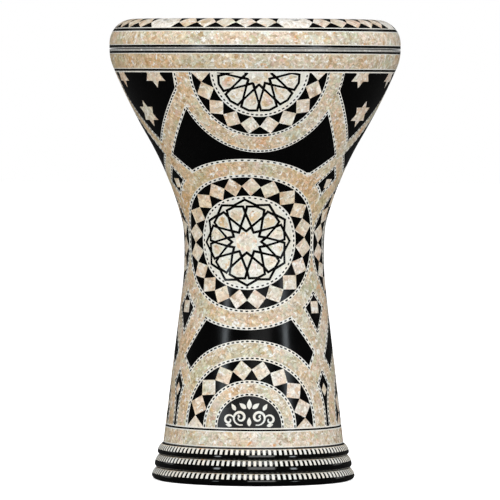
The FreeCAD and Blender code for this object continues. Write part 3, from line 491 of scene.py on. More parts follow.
class Coat:
    """Collects closed thin tiles that share one object."""

    def __init__(self):
        self.v, self.f, self.n, self.count = [], [], [], 0

    def tiles(self, prof, th, s, tris, top=0.0, depth=0.7):
        """tris: (n,3) over points (th, s); makes a closed solid inward."""
        th, s = np.asarray(th, float), np.asarray(s, float)
        tris = np.asarray(tris, int)
        used = np.unique(tris)
        remap = -np.ones(len(th), int)
        remap[used] = np.arange(len(used))
        tris = remap[tris]
        th, s = th[used], s[used]
        a, b, c = tris[:, 0], tris[:, 1], tris[:, 2]
        cr = (th[b] - th[a]) * (s[c] - s[a]) - (th[c] - th[a]) * (s[b] - s[a])
        tris = tris[np.abs(cr) > 1e-9]
        pt, nn = prof.points(th, s, top)
        # outward: the face's own normal agrees with the surface's
        a, b, c = tris[:, 0], tris[:, 1], tris[:, 2]
        fn = np.cross(pt[b] - pt[a], pt[c] - pt[a])
        flip = np.einsum("ij,ij->i", fn, nn[a] + nn[b] + nn[c]) < 0
        tris[flip] = tris[flip][:, ::-1]
        pb, _ = prof.points(th, s, top - depth)
        n = len(th)
        base = self.count
        self.v.append(pt)
        self.v.append(pb)
        self.count += 2 * n
        edges = {}
        for t in tris:
            for i, j in ((t[0], t[1]), (t[1], t[2]), (t[2], t[0])):
                edges[(i, j)] = True
        for t in tris:
            i, j, k = (int(x) for x in t)
            self.f.append((base + i, base + j, base + k))
            self.n += [nn[i], nn[j], nn[k]]
            self.f.append((base + n + k, base + n + j, base + n + i))
            self.n += [-nn[k], -nn[j], -nn[i]]
        for (i, j) in edges:
            if (j, i) not in edges:
                i, j = int(i), int(j)
                d = pt[j] - pt[i]
                w = np.cross(d, nn[i] + nn[j])
                L = np.linalg.norm(w)
                w = w / L if L > 0 else nn[i]
                self.f.append((base + j, base + i, base + n + i, base + n + j))
                self.n += [w, w, w, w]

    def build(self, name, mat, body="shell"):
        v = np.concatenate(self.v)
        return add_object(name, v, self.f, mat, [tuple(map(float, x)) for x in self.n], body)


def densify(poly, step, k=1.0):
    """Adds points along the edges of a closed (th, s) outline."""
    out = []
    for (a, b), (c, d) in zip(poly, poly[1:] + poly[:1]):
        L = math.hypot((c - a) * k, d - b)
        n = max(1, int(math.ceil(L / step)))
        for i in range(n):
            out.append((a + (c - a) * i / n, b + (d - b) * i / n))
    return out


def cdt_tiles(prof, layers, domain, dth=2.0, ds=3.5, k=1.5):
    """Paints outlines over one another, the last on top, and returns the
    triangles of each key.  layers: [(key, [(th, s), ...])]."""
    th0, th1, s0, s1 = domain
    verts, edges = [], []
    for key, poly in layers:
        base = len(verts)
        for a, b in poly:
            verts.append(Vector(((a - th0) * k, b)))
        n = len(poly)
        edges += [(base + i, base + (i + 1) % n) for i in range(n)]
    nt, ns = int(round((th1 - th0) / dth)), max(1, int(round((s1 - s0) / ds)))
    for i in range(nt + 1):
        for j in range(ns + 1):
            verts.append(Vector((((th1 - th0) * i / nt) * k, s0 + (s1 - s0) * j / ns)))
    base = len(verts)
    corners = [(th0, s0), (th1, s0), (th1, s1), (th0, s1)]
    frame_poly = densify(corners, 3.5, k)
    for a, b in frame_poly:
        verts.append(Vector(((a - th0) * k, b)))
    n = len(frame_poly)
    edges += [(base + i, base + (i + 1) % n) for i in range(n)]
    ov, oe, of, _, _, _ = delaunay_2d_cdt(verts, edges, [], 0, 1e-5, False)
    P = np.array([(v.x / k + th0, v.y) for v in ov])
    T = np.array([f for f in of if len(f) == 3], int)
    C = P[T].mean(axis=1)
    A = np.abs((P[T[:, 1], 0] - P[T[:, 0], 0]) * (P[T[:, 2], 1] - P[T[:, 0], 1])
               - (P[T[:, 2], 0] - P[T[:, 0], 0]) * (P[T[:, 1], 1] - P[T[:, 0], 1]))
    ok = ((C[:, 0] > th0) & (C[:, 0] < th1) & (C[:, 1] > s0) & (C[:, 1] < s1) & (A > 1e-9))
    T, C = T[ok], C[ok]
    top = -np.ones(len(T), int)
    order = np.argsort(C[:, 1])
    Cs = C[order]
    for li, (key, poly) in enumerate(layers):
        q = np.array(poly)
        lo, hi = np.searchsorted(Cs[:, 1], [q[:, 1].min(), q[:, 1].max()])
        if hi <= lo:
            continue
        cx, cy = Cs[lo:hi, 0], Cs[lo:hi, 1]
        box = (cx > q[:, 0].min()) & (cx < q[:, 0].max())
        idx = np.nonzero(box)[0]
        if not len(idx):
            continue
        cx, cy = cx[idx], cy[idx]
        inside = np.zeros(len(idx), bool)
        x0, y0 = q[:, 0], q[:, 1]
        x1, y1 = np.roll(x0, -1), np.roll(y0, -1)
        for e in range(len(q)):
            if y0[e] == y1[e]:
                continue
            hit = (y0[e] > cy) != (y1[e] > cy)
            if hit.any():
                xx = x0[e] + (cy - y0[e]) * (x1[e] - x0[e]) / (y1[e] - y0[e])
                inside ^= hit & (cx < xx)
        top[order[lo + idx[inside]]] = li
    out = {}
    for li in np.unique(top):
        if li < 0:
            continue
        out.setdefault(layers[li][0], []).append(T[top == li])
    return P[:, 0], P[:, 1], {k2: np.concatenate(v2) for k2, v2 in out.items()}


# flat drawing helpers: outlines as (x mm, y mm) about a centre on the shell
def place(prof, turn, sc, pts, hold=0.0):
    """Flat points about (turn, sc) carried to (th, s).  hold: how far the
    drawing was wrapped round whole, by the radius at its own centre."""
    out = []
    for x, y in pts:
        s = sc + y
        r = hold * prof.radius(sc) + (1.0 - hold) * prof.radius(s)
        out.append((turn + math.degrees(x / r), s))
    return out


def circle(r, n=96, wide=1.0, start=0.0):
    return [(r * wide * math.sin(math.radians(start) + 2 * math.pi * i / n),
             r * math.cos(math.radians(start) + 2 * math.pi * i / n)) for i in range(n)]


def grow(pts, d):
    area = sum(p[0] * q[1] - q[0] * p[1] for p, q in zip(pts, pts[1:] + pts[:1]))
    sgn = 1.0 if area > 0 else -1.0
    out, n = [], len(pts)
    for i in range(n):
        x0, y0 = pts[i - 1]
        x1, y1 = pts[i]
        x2, y2 = pts[(i + 1) % n]
        ax, ay, bx, by = x1 - x0, y1 - y0, x2 - x1, y2 - y1
        la, lb = math.hypot(ax, ay), math.hypot(bx, by)
        nax, nay, nbx, nby = sgn * ay / la, -sgn * ax / la, sgn * by / lb, -sgn * bx / lb
        mx, my = nax + nbx, nay + nby
        kk = max((mx * mx + my * my) / 2.0, 0.25)
        out.append((x1 + d * mx / kk, y1 + d * my / kk))
    return out


def polar(r, deg, wide=1.0):
    a = math.radians(deg)
    return (r * math.sin(a) * wide, r * math.cos(a))


def hexagram(r, wide=1.0):
    return [polar(r if i % 2 == 0 else r / math.sqrt(3.0), 30.0 * i, wide) for i in range(12)]


def subdivide(pts, step=2.0):
    return densify(pts, step)


def clip_x(pts, lo, hi):
    """Clips a convex outline in (th, s) to lo <= th <= hi."""
    for side, lim in ((1, lo), (-1, hi)):
        out = []
        for (a, b), (c, d) in zip(pts, pts[1:] + pts[:1]):
            ia, ic = side * (a - lim) >= 0, side * (c - lim) >= 0
            if ia:
                out.append((a, b))
            if ia != ic:
                t = (lim - a) / (c - a)
                out.append((lim, b + (d - b) * t))
        pts = out
    return pts


# ==================================================== shell mosaic layout ====
W = 2.9                       # width of the dotted stringing
s_of = SHELL.s_of_z
TH0, TH1 = -180.0 - 0.0, 180.0
layers = []
dashes = []                   # (turn, s, angle, length, width) on the shell


def band(key, z0, z1):
    a, b = s_of(z0), s_of(z1)
    poly = [(TH0, a), (TH1, a), (TH1, b), (TH0, b)]
    layers.append((key, densify(poly, 4.0, 1.5)))


Z_TOP, Z_LOW = 389.2, 54.3
S_TOP, S_LOW = s_of(Z_TOP), s_of(Z_LOW)


def put(key, turn, sc, pts, step=2.2, sector=None, hold=0.0):
    """Adds an outline (flat mm about turn, sc), copied across the back seam."""
    poly = place(SHELL, turn, sc, subdivide(pts, step), hold)
    if sector:
        poly = clip_x(poly, sector[0], sector[1])
    if len(poly) < 3:
        return
    for k in (-360.0, 0.0, 360.0):
        q = [(a + k, b) for a, b in poly]
        if max(a for a, b in q) > TH0 and min(a for a, b in q) < TH1:
            layers.append((key, q))


WAIST_TURNS = [3.8, 19.1, 37.5, 55.9, 76.0, 95.6, 115.0, 134.5, 153.8, 171.8, 188.2, 204.4, 221.6, 239.5, 258.8,
               278.0, 297.4, 316.2, 333.8, 348.6]
FOOT_TURNS = [11.0, 29.6, 50.5, 71.0, 90.5, 110.0, 130.0, 150.0, 170.0, 190.0, 210.0, 230.0, 250.0, 270.5, 291.5,
              313.5, 334.0, 353.0]
MEDALLIONS = {
    "upper": dict(zc=390.4, rings=(40.9, 43.1, 47.2, 66.0, 69.0, 82.8, 85.6), count=18, first=9.0, wide=1.01, hold=0.45),
    "waist": dict(zc=229.3, rings=(40.6, 41.3, 45.2, 64.0, 67.0, 80.4, 83.3), count=20, first=6.0, wide=1.065, hold=0.8),
    "foot": dict(zc=54.5, rings=(30.2, 32.8, 42.0, 45.1, 64.2, 67.4, 80.3, 83.2), count=18, first=10.0, wide=1.03, hold=0.0),
}
medal_places = []


def dash_ring(turn, sc, r, pitch, length, width, wide=1.0, sector=None, hold=0.0, only=None):
    n = int(round(2 * math.pi * r / pitch))
    for i in range(n):
        a = 2 * math.pi * (i + 0.5) / n
        x, y = r * wide * math.sin(a), r * math.cos(a)
        s = sc + y
        if s > S_TOP - 0.3 or s < S_LOW + 0.3:
            continue
        th = turn + math.degrees(x / (hold * SHELL.radius(sc) + (1.0 - hold) * SHELL.radius(s)))
        if sector and not sector[0] + 0.4 < th < sector[1] - 0.4:
            continue
        if only and not only(th, s):
            continue
        dashes.append((th, s, math.atan2(-math.sin(a), wide * math.cos(a)), length, width))


def dash_line(turn, sc, pts, pitch, length, width, keep_out):
    """Dashes along a closed flat outline."""
    for (x0, y0), (x1, y1) in zip(pts, pts[1:] + pts[:1]):
        L = math.hypot(x1 - x0, y1 - y0)
        if L < pitch:
            continue
        n = max(1, int(round(L / pitch)))
        for i in range(n):
            t = (i + 0.5) / n
            x, y = x0 + (x1 - x0) * t, y0 + (y1 - y0) * t
            s = sc + y
            if s > S_TOP - 0.4 or s < S_LOW + 0.4:
                continue
            th = turn + math.degrees(x / SHELL.radius(s))
            if inside_medallion(th, s):
                continue
            dashes.append((th, s, math.atan2(y1 - y0, x1 - x0), length, width))


def inside_medallion(th, s):
    for turn, sc, r, wide, hold in medal_places:
        d = (th - turn + 180.0) % 360.0 - 180.0
        x = math.radians(d) * (hold * SHELL.radius(sc) + (1.0 - hold) * SHELL.radius(s))
        if math.hypot(x / wide, s - sc) < r + 0.2:
            return True
    return False


for name, md in MEDALLIONS.items():
    for col in range(3):
        medal_places.append((column_turn(md["zc"], col), s_of(md["zc"]), md["rings"][-1], md["wide"], md["hold"]))

# base coat of the zone is pearl strapwork
band("pearl", 35.4, 411.15)
# rim and foot bands, from the split down
for key, z0, z1 in (("rim_seam", 409.3, 411.15), ("rim_line", 407.3, 409.3), ("rim_white", 406.6, 407.3),
                    ("rim_pearl", 393.3, 406.6), ("low_white", 392.45, 393.3),
                    ("low_line", 390.4, 392.45), ("low_white", 389.2, 390.4),
                    ("foot_white", 53.1, 54.3), ("foot_line", 51.4, 53.1), ("foot_white", 50.3, 51.4),
                    ("foot_pearl", 37.0, 50.3), ("foot_white", 36.0, 37.0), ("foot_line", 35.3, 36.0)):
    band(key, z0, z1)
band_layers = layers[1:]
layers = layers[:1]

CROSS = [
    ("cross_upper", [(-32.6, 355.5), (34.2, 355.5), (53.6, 311.9), (38.3, 295.2), (-38.3, 295.2), (-53.4, 311.9)]),
    ("cross_lower", [(-33.4, 155.4), (34.6, 155.6), (52.0, 124.6), (45.0, 109.3), (-45.9, 108.6), (-53.6, 120.0)]),
]
KITES = [
    ("star_panel", [(-23.6, 398.0), (-23.2, 374.8), (0.0, 325.7), (23.2, 374.8), (23.6, 398.0)]),
    ("kite_upper", [(0.0, 298.8), (-10.9, 284.0), (0.0, 271.1), (10.9, 284.0)]),
    ("kite_lower", [(0.0, 182.3), (-11.8, 168.4), (0.0, 144.8), (11.8, 168.4)]),
    ("spear", [(0.0, 104.7), (-6.6, 91.2), (-3.0, 48.5), (3.0, 48.5), (6.6, 91.2)]),
]


def warped(col, offset, pts):
    """(turn, z) corners -> flat mm about the panel's own centre."""
    zc = sum(p[1] for p in pts) / len(pts)
    sc = s_of(zc)
    turn = column_turn(zc, col) if not offset else seam_turn(zc, col)
    out = []
    for a, z in pts:
        base = column_turn(z, col) if not offset else seam_turn(z, col)
        k = half_span(z) / 60.0
        s = s_of(z) if z < 411 else s_of(411)
        th = base + a * k
        out.append((math.radians(th - turn) * SHELL.radius(s), s - sc))
    return turn, sc, out


string_layers, panel_layers, tile_layers = [], [], []
for col in range(3):
    for name, pts in CROSS:
        turn, sc, flat = warped(col, False, pts)
        flat = subdivide(flat, 6.0)
        put("panel_string", turn, sc, grow(flat, W))
        string_layers.append((turn, sc, grow(flat, W * 0.48)))
        panel_layers.append((name, turn, sc, flat))
    for name, pts in KITES:
        turn, sc, flat = warped(col, True, pts)
        put("panel_string", turn, sc, grow(flat, W))
        string_layers.append((turn, sc, grow(flat, W * 0.48)))
        panel_layers.append((name, turn, sc, flat))
        if name == "star_panel":
            for dx, z in ((0.0, 350.4), (-12.9, 387.6), (12.9, 387.6)):
                b = seam_turn(z, col) + dx * half_span(z) / 60.0
                tile_layers.append(("star", b, s_of(z), hexagram(14.0, 1.05)))
        elif name == "kite_upper":
            tile_layers.append(("kite_tile", seam_turn(284.4, col), s_of(284.4),
                                [(-4.7, -4.6), (4.7, -4.6), (4.7, 4.6), (-4.7, 4.6)]))
        elif name == "kite_lower":
            tile_layers.append(("kite_tile", seam_turn(166.9, col), s_of(166.9),
                                [(-5.8, -5.7), (5.8, -5.7), (5.8, 5.7), (-5.8, 5.7)]))
        else:
            tile_layers.append(("spear_tile", seam_turn(88.8, col), s_of(88.8),
                                [(-4.4, 0.0), (0.0, -6.3), (4.4, 0.0), (0.0, 6.3)]))
EDGED = [place(SHELL, turn, sc, subdivide(grow(flat, W + 0.3), 6.0)) for name, turn, sc, flat in panel_layers]


def by_panel(th, s):
    """True next to a black panel, where the round edges carry stringing."""
    for poly in EDGED:
        for k in (-360.0, 0.0, 360.0):
            hit = False
            for (x0, y0), (x1, y1) in zip(poly, poly[1:] + poly[:1]):
                if (y0 > s) != (y1 > s) and th - k < x0 + (s - y0) / (y1 - y0) * (x1 - x0):
                    hit = not hit
            if hit:
                return True
    return False


for name, turn, sc, flat in panel_layers:
    put(name, turn, sc, flat)
for key, turn, sc, flat in tile_layers:
    put(key, turn, sc, flat)
for turn, sc, flat in string_layers:
    dash_line(turn, sc, flat, 4.6, 2.6, 1.4, True)


ROSE = {
    # how the star was laid in its round: shift in mm, size, half the line's width
    "upper": dict(dx=-1.0, ds=-2.1, k=1.085, g=1.25, tip=41.2, notch=39.2, inner=0.0, edge=1.0),
    "waist": dict(dx=-1.0, ds=0.1, k=0.975, g=1.18, tip=41.2, notch=36.8, inner=0.40, edge=0.965),
}


def rosette(kind, turn, sc, wide, hold):
    """Twelve-fold star rosette: ivory kites and pearl petals between black lines."""
    lay_out = ROSE[kind]
    g, q = lay_out["g"], lay_out["k"]
    base = "rose_upper" if kind == "upper" else "rose_waist"
    tilt = -1.2

    def lay(key, pts):
        put(base + key, turn, sc, [(x + lay_out["dx"], y + lay_out["ds"]) for x, y in pts], 2.2, None, hold)

    def pol(r, deg):
        # the heart of the star was cut a little wider than its rim
        return polar(r * q, deg, wide * (1.0 + lay_out["inner"] * max(0.0, 1.0 - r / 36.4)))

    star = []
    for k in range(12):
        low = 2.0 if kind == "upper" and k in (5, 6, 7) else 0.0
        star.append(polar(lay_out["tip"] - low, 30.0 * k + tilt, wide * lay_out["edge"]))
        star.append(polar(lay_out["notch"] - 0.7 * low, 30.0 * k + 15.0 + tilt, wide * lay_out["edge"]))
    if kind == "waist":
        lay("_line", grow(star, g))
        lay("_ivory", grow(star, -g))
    for k in range(12):
        a = 30.0 * k + 15.0 + tilt
        petal = [pol(14.9, a), pol(28.4, a + 15.0), pol(35.3, a + 12.2), pol(36.4, a), pol(35.3, a - 12.2), pol(28.4, a - 15.0)]
        lay("_line", grow(petal, g))
        lay("_ivory", grow(petal, -g))
        wob = [rnd.uniform(0.88, 1.06) for _ in range(10)]
        lay("_petal", [pol(19.2 * wob[0], a), pol(22.6, a + 6.6 * wob[1]), pol(27.0, a + 9.4 * wob[2]),
                       pol(31.6 * wob[3], a + 9.4 * wob[4]), pol(33.6 * wob[5] ** 0.5, a + 4.0),
                       pol(33.6 * wob[6] ** 0.5, a - 4.0), pol(31.6 * wob[7], a - 9.4 * wob[8]),
                       pol(27.4, a - 10.6 * wob[9]), pol(22.6, a - 7.6 * wob[2])])
    for k in range(12):
        a = 30.0 * k + tilt
        kite = [pol(10.4, a), pol(15.3, a + 15.0), pol(28.0, a), pol(15.3, a - 15.0)]
        lay("_line", grow(kite, g))
        lay("_ivory", grow(kite, -g))
    centre = []
    for k in range(12):
        centre.append(pol(10.4, 30.0 * k + tilt))
        centre.append(pol(14.7, 30.0 * k + 15.0 + tilt))
    lay("_line", grow(centre, g))
    lay("_ivory", grow(centre, -g))
    lay("_petal", [polar(9.5 * q * rnd.uniform(0.92, 1.08), 15.0 * k, wide) for k in range(24)])


for kind, md in MEDALLIONS.items():
    for col in range(3):
        zc, wide, rings = md["zc"], md["wide"], md["rings"]
        turn, sc = column_turn(zc, col), s_of(zc)
        sector = None
        if kind == "waist":
            lo = seam_turn(zc, (col + 2) % 3)
            hi = seam_turn(zc, col)
            while lo > turn:
                lo -= 360.0
            while hi < turn:
                hi += 360.0
            sector = (lo, hi)

        hold = md["hold"]

        def disc(key, r):
            put(key, turn, sc, circle(r, 120, wide), 9.0, sector, hold)
        disc("medal_pearl", rings[-1])
        # outer stringing only along the black panels
        edge, mid_r = [], (rings[-1] + rings[-2]) / 2.0
        for j in range(720):
            a = math.radians(0.5 * j)
            x, y = mid_r * wide * math.sin(a), mid_r * math.cos(a)
            t = turn + math.degrees(x / (hold * SHELL.radius(sc) + (1.0 - hold) * SHELL.radius(sc + y)))
            edge.append(by_panel(t, sc + y))
        start = next((j for j in range(720) if edge[j] and not edge[j - 1]), None)
        if start is not None:
            run = []
            for j in range(start, start + 721):
                if edge[j % 720] and j < start + 720:
                    run.append(math.radians(0.5 * j))
                elif run:
                    if len(run) > 6:
                        arc = [(rings[-1] * wide * math.sin(a), rings[-1] * math.cos(a)) for a in run[::4] + run[-1:]]
                        arc += [(rings[-2] * wide * math.sin(a), rings[-2] * math.cos(a)) for a in (run[::4] + run[-1:])[::-1]]
                        put("medal_string", turn, sc, arc, 9.0, sector, hold)
                    run = []
        disc("medal_string", rings[-3])
        disc("ground_" + kind, rings[-4])
        inner, outer = rings[-5], rings[-4]
        mid = (inner + outer) / 2.0
        hv = (outer - inner) / 2.0
        turns = {"waist": WAIST_TURNS, "foot": FOOT_TURNS}.get(
            kind, [md["first"] + 360.0 * k / md["count"] for k in range(md["count"])])
        for k in range(md["count"]):
            a = math.radians(turns[k])
            after = math.radians((turns[(k + 1) % md["count"]] - turns[k]) % 360.0) / 2.0
            before = math.radians((turns[k] - turns[k - 1]) % 360.0) / 2.0
            c, s_ = math.cos(a), math.sin(a)
            e = -0.12
            tile = []
            for u, v in ((0, -hv + e), (mid * after - e, 0), (0, hv - e), (-mid * before + e, 0)):
                tile.append((((mid + v) * s_ + u * c) * wide, (mid + v) * c - u * s_))
            put("checker", turn, sc, tile, 2.2, sector, hold)
        disc("medal_string", inner)
        pitch, length, width = (4.6, 2.6, 1.4)
        dash_ring(turn, sc, (rings[-1] + rings[-2]) / 2, pitch, length, width, wide, sector, hold, by_panel)
        dash_ring(turn, sc, (rings[-3] + rings[-4]) / 2, pitch, length, width, wide, sector, hold)
        if kind == "foot":
            disc("medal_pearl", rings[2])
            disc("medal_string", rings[1])
            disc("lunette", rings[0])
            dash_ring(turn, sc, (rings[2] + rings[3]) / 2, pitch, length, width, wide, None, hold)
            dash_ring(turn, sc, (rings[0] + rings[1]) / 2, pitch, length, width, wide, None, hold)
        else:
            base = "rose_upper" if kind == "upper" else "rose_waist"
            disc(base + "_ivory", rings[1])
            dash_ring(turn, sc, (rings[1] + rings[2]) / 2, 4.6, 2.3, 1.35, wide, None, hold)
            rosette(kind, turn, sc, wide, hold)

layers += band_layers


# arabesque scroll in the lunettes at the foot: two vines with leaves
def stroke(points, width, taper=True):
    """A closed outline round a path, thick in the middle."""
    left, right = [], []
    n = len(points)
    for i, (x, y) in enumerate(points):
        x0, y0 = points[max(0, i - 1)]
        x1, y1 = points[min(n - 1, i + 1)]
        L = math.hypot(x1 - x0, y1 - y0) or 1.0
        nx, ny = -(y1 - y0) / L, (x1 - x0) / L
        w = width * (0.35 + 0.65 * math.sin(math.pi * min(1.0, max(0.0, i / (n - 1))))) if taper else width
        left.append((x + nx * w / 2, y + ny * w / 2))
        right.append((x - nx * w / 2, y - ny * w / 2))
    return left + right[::-1]


def spiral(cx, cy, r0, r1, a0, a1, n=22):
    out = []
    for i in range(n):
        t = i / (n - 1)
        r = r0 + (r1 - r0) * t
        a = math.radians(a0 + (a1 - a0) * t)
        out.append((cx + r * math.cos(a), cy + r * math.sin(a)))
    return out


def leaf(cx, cy, L, w, deg):
    a = math.radians(deg)
    out = []
    for i in range(14):
        t = i / 13.0
        out.append((L * t, w * math.sin(math.pi * t ** 0.8) / 2))
    for i in range(12, 0, -1):
        t = i / 13.0
        out.append((L * t, -w * math.sin(math.pi * t ** 0.8) / 2))
    return [(cx + x * math.cos(a) - y * math.sin(a), cy + x * math.sin(a) + y * math.cos(a)) for x, y in out]


for col in range(3):
    turn, sc = column_turn(54.5, col), s_of(54.5)
    shapes = []
    for m in (-1, 1):
        fl = (lambda pts, m=m: [(m * x, y) for x, y in pts])
        shapes.append(fl(stroke(spiral(8.6, 9.8, 7.4, 1.8, -110, 360), 2.5)))
        shapes.append(fl(stroke(spiral(19.6, 7.6, 5.4, 1.3, 190, -220), 2.2)))
        shapes.append(fl(leaf(3.0, 18.2, 8.2, 4.2, 38)))
        shapes.append(fl(leaf(13.0, 16.4, 7.4, 3.8, 58)))
        shapes.append(fl(leaf(16.6, 1.9, 6.4, 3.2, 12)))
        shapes.append(fl(leaf(9.0, 9.6, 3.6, 2.2, 60)))
    shapes.append(leaf(0.0, 17.6, 9.8, 4.6, 90))
    shapes.append(leaf(0.0, 1.6, 8.6, 4.0, 90))
    for sh in shapes:
        put("scroll", turn, sc, sh, 1.4)

th, s, tiles = cdt_tiles(SHELL, layers, (TH0, TH1, s_of(35.4), s_of(411.15)))
print("shell mosaic:", len(layers), "outlines,", sum(len(t) for t in tiles.values()), "triangles,", len(dashes), "dashes")

PIECES = {
    # key: (object, material, CAD node it stands for)
    "pearl": ("strapwork_pearl", "pearl", "pearl_straps"),
    "rim_seam": ("rim_seam_strip", "seam", "rim_stringing"),
    "rim_white": ("rim_ivory_strips", "ivory", "rim_stringing"),
    "rim_line": ("rim_black_strip", "black", "rim_stringing"),
    "rim_pearl": ("rim_band_pearl", "pearl", "rim_pearl_band"),
    "low_white": ("rim_lower_ivory_strips", "ivory", "rim_lower_stringing"),
    "low_line": ("rim_lower_black_strip", "black", "rim_lower_stringing"),
    "foot_white": ("foot_ivory_strips", "ivory", "foot_stringing"),
    "foot_line": ("foot_black_strip", "black", "foot_stringing"),
    "foot_pearl": ("foot_band_pearl", "pearl_ring", "foot_pearl_band"),
    "medal_string": ("medallion_ivory_rings", "ivory", "medallion_stringing"),
    "medal_pearl": ("medallion_pearl_rings", "pearl", "medallion_pearl_bands"),
    "panel_string": ("panel_ivory_edging", "ivory", "panel_stringing"),
    "cross_upper": ("upper_black_panels", "black", "upper_crossing_panels"),
    "cross_lower": ("lower_black_panels", "black", "lower_crossing_panels"),
    "star_panel": ("star_black_panels", "black", "star_panels"),
    "kite_upper": ("upper_black_kites", "black", "upper_kite_panels"),
    "kite_lower": ("lower_black_kites", "black", "lower_kite_panels"),
    "spear": ("black_spears", "black", "spear_panels"),
    "star": ("pearl_stars", "pearl_tile", "star_inlays"),
    "kite_tile": ("kite_pearl_tiles", "pearl_tile", "kite_inlays"),
    "spear_tile": ("spear_pearl_tiles", "pearl_tile", "spear_inlays"),
    "checker": ("checker_pearl_tiles", "pearl_tile", "checker_squares"),
    "ground_upper": ("upper_checker_resin", "black", "upper_checker_grounds"),
    "ground_waist": ("waist_checker_resin", "black", "waist_checker_grounds"),
    "ground_foot": ("foot_checker_resin", "black", "foot_checker_grounds"),
    "lunette": ("lunette_ground", "lunette", "lunette_panels"),
    "scroll": ("lunette_scrollwork", "ivory", "lunette_panels"),
    "rose_upper_ivory": ("upper_rosette_ivory", "ivory_rose", "upper_rosettes"),
    "rose_upper_line": ("upper_rosette_lines", "black", "upper_rosettes"),
    "rose_upper_petal": ("upper_rosette_petals", "pearl_petal", "upper_rosettes"),
    "rose_waist_ivory": ("waist_rosette_ivory", "ivory_rose", "waist_rosettes"),
    "rose_waist_line": ("waist_rosette_lines", "black", "waist_rosettes"),
    "rose_waist_petal": ("waist_rosette_petals", "pearl_petal", "waist_rosettes"),
}
for key, tris in tiles.items():
    nm, mat, node = PIECES[key]
    c = Coat()
    c.tiles(SHELL, th, s, tris, 0.0, 0.75)
    ob = c.build(nm, mat)
    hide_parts(node)


def little_bars(prof, items, name, mat, top=0.06, depth=0.5, body="shell", seg=1):
    """Small bars laid on a surface: (turn, s, angle, length, width)."""
    c = Coat()
    TH, S, T = [], [], []
    for th_, s_, a, L, w in items:
        b = len(TH)
        for u, v in ((-L / 2, -w / 2), (L / 2, -w / 2), (L / 2, w / 2), (-L / 2, w / 2)):
            x = u * math.cos(a) - v * math.sin(a)
            y = u * math.sin(a) + v * math.cos(a)
            TH.append(th_ + math.degrees(x / prof.radius(s_ + y)))
            S.append(s_ + y)
        T += [(b, b + 1, b + 2), (b, b + 2, b + 3)]
    c.tiles(prof, TH, S, T, top, depth)
    return c.build(name, mat, body)


little_bars(SHELL, dashes, "stringing_dots", "black")

# ============================================================ foot beads ====
def lathe(name, prof, s0, s1, mat, depth, body="shell", nseg=192, ns=24):
    c = Coat()
    TH, S, T = [], [], []
    for i in range(nseg + 1):
        for j in range(ns + 1):
            TH.append(-180.0 + 360.0 * i / nseg)
            S.append(s0 + (s1 - s0) * j / ns)
    for i in range(nseg):
        for j in range(ns):
            a = i * (ns + 1) + j
            b = a + ns + 1
            T += [(a, b, b + 1), (a, b + 1, a + 1)]
    c.tiles(prof, TH, S, T, 0.0, depth)
    return c.build(name, mat, body)


# Each bead: a long upper slope that carries the rope, a round black crest.
BEADS = [
    ("upper", [(91.7 - 5.2, 35.2, 0), (91.7, 27.3, 11.0), (89.5, 24.5, 2.6)], 34.2, 29.3),
    ("middle", [(89.5, 24.3, 0), (94.25, 16.6, 12.0), (92.3, 12.1, 3.6)], 24.0, 18.9),
    ("base", [(92.3, 11.9, 0), (97.25, 4.4, 12.0), (93.4, 0.4, 4.4)], 11.6, 6.4),
]
for i, (nm, pts, rope_top, rope_low) in enumerate(BEADS):
    prof = arc_chain(pts)
    ob = lathe("foot_%s_bead_resin" % nm, prof, float(prof.s[0]) + 0.01, float(prof.s[-1]) - 0.01, "bead", 1.6)
    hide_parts("foot_bead_" + nm)
    # rope: ivory bars set straight down the slope, narrowing a little, with one fine line of the ring's pearl along
    # the rope's top edge
    st, sl = prof.s_of_z(rope_top), prof.s_of_z(rope_low)
    a, b = min(st, sl), max(st, sl)
    L = b - a
    mid_s = (a + b) / 2.0
    r = prof.radius(mid_s)
    n = (110, 114, 112)[i]
    pitch = 2 * math.pi * r / n
    bars = []
    c = Coat()
    TH, S, T = [], [], []
    for k in range(n):
        t0 = 360.0 * k / n + 0.9 * i
        base = len(TH)
        steps = 4
        for q in range(steps + 1):
            f = q / steps
            ss = a + 0.25 + (L - 0.35) * f
            swell = 0.54 - 0.05 * f
            for e in (-0.5, 0.5):
                x = e * pitch * swell
                TH.append(t0 + math.degrees(x / prof.radius(ss)))
                S.append(ss)
        for q in range(steps):
            b0 = base + 2 * q
            T += [(b0, b0 + 1, b0 + 3), (b0, b0 + 3, b0 + 2)]
    c.tiles(prof, TH, S, T, 0.16, 0.6)
    c.build("rope_bars_%s" % nm, "ivory")
    lines = Coat()
    for sa, sb in ((a - 0.10, a + 0.75),):
        TH, S, T = [], [], []
        for q in range(181):
            for ss in (sa, sb):
                TH.append(-180 + 2.0 * q)
                S.append(max(ss, float(prof.s[0]) + 0.02))
        for q in range(180):
            b0 = 2 * q
            T += [(b0, b0 + 2, b0 + 3), (b0, b0 + 3, b0 + 1)]
        lines.tiles(prof, TH, S, T, 0.10, 0.5)
    lines.build("rope_line_%s" % nm, "pearl_ring")

# ============================================================= clamp ring ====
rz = RING.s_of_z
layers = []


def rband(key, z0, z1=None, s0=None, s1=None):
    a = rz(z0) if s0 is None else s0
    b = (rz(z1) if z1 is not None else s1)
    poly = [(TH0, a), (TH1, a), (TH1, b), (TH0, b)]
    layers.append((key, densify(poly, 4.0, 2.2)))


S_END = float(RING.s[-1])
rband("cap", 412.05, s1=S_END - 0.01)
rband("seam", 412.05, 412.75)
rband("line", 412.75, 415.0)
rband("white", 415.0, 415.7)
rband("pearl", 415.7, 427.5)
rband("white", 427.5, 428.3)
rband("line", 428.3, 430.7)
rband("white", 430.7, 431.4)
S_CAP = rz(431.4)
S_IN = S_END - 0.01


def rput(key, pts):
    for k in (-360.0, 0.0, 360.0):
        q = [(a + k, b) for a, b in pts]
        if max(a for a, b in q) > TH0 and min(a for a, b in q) < TH1:
            layers.append((key, q))


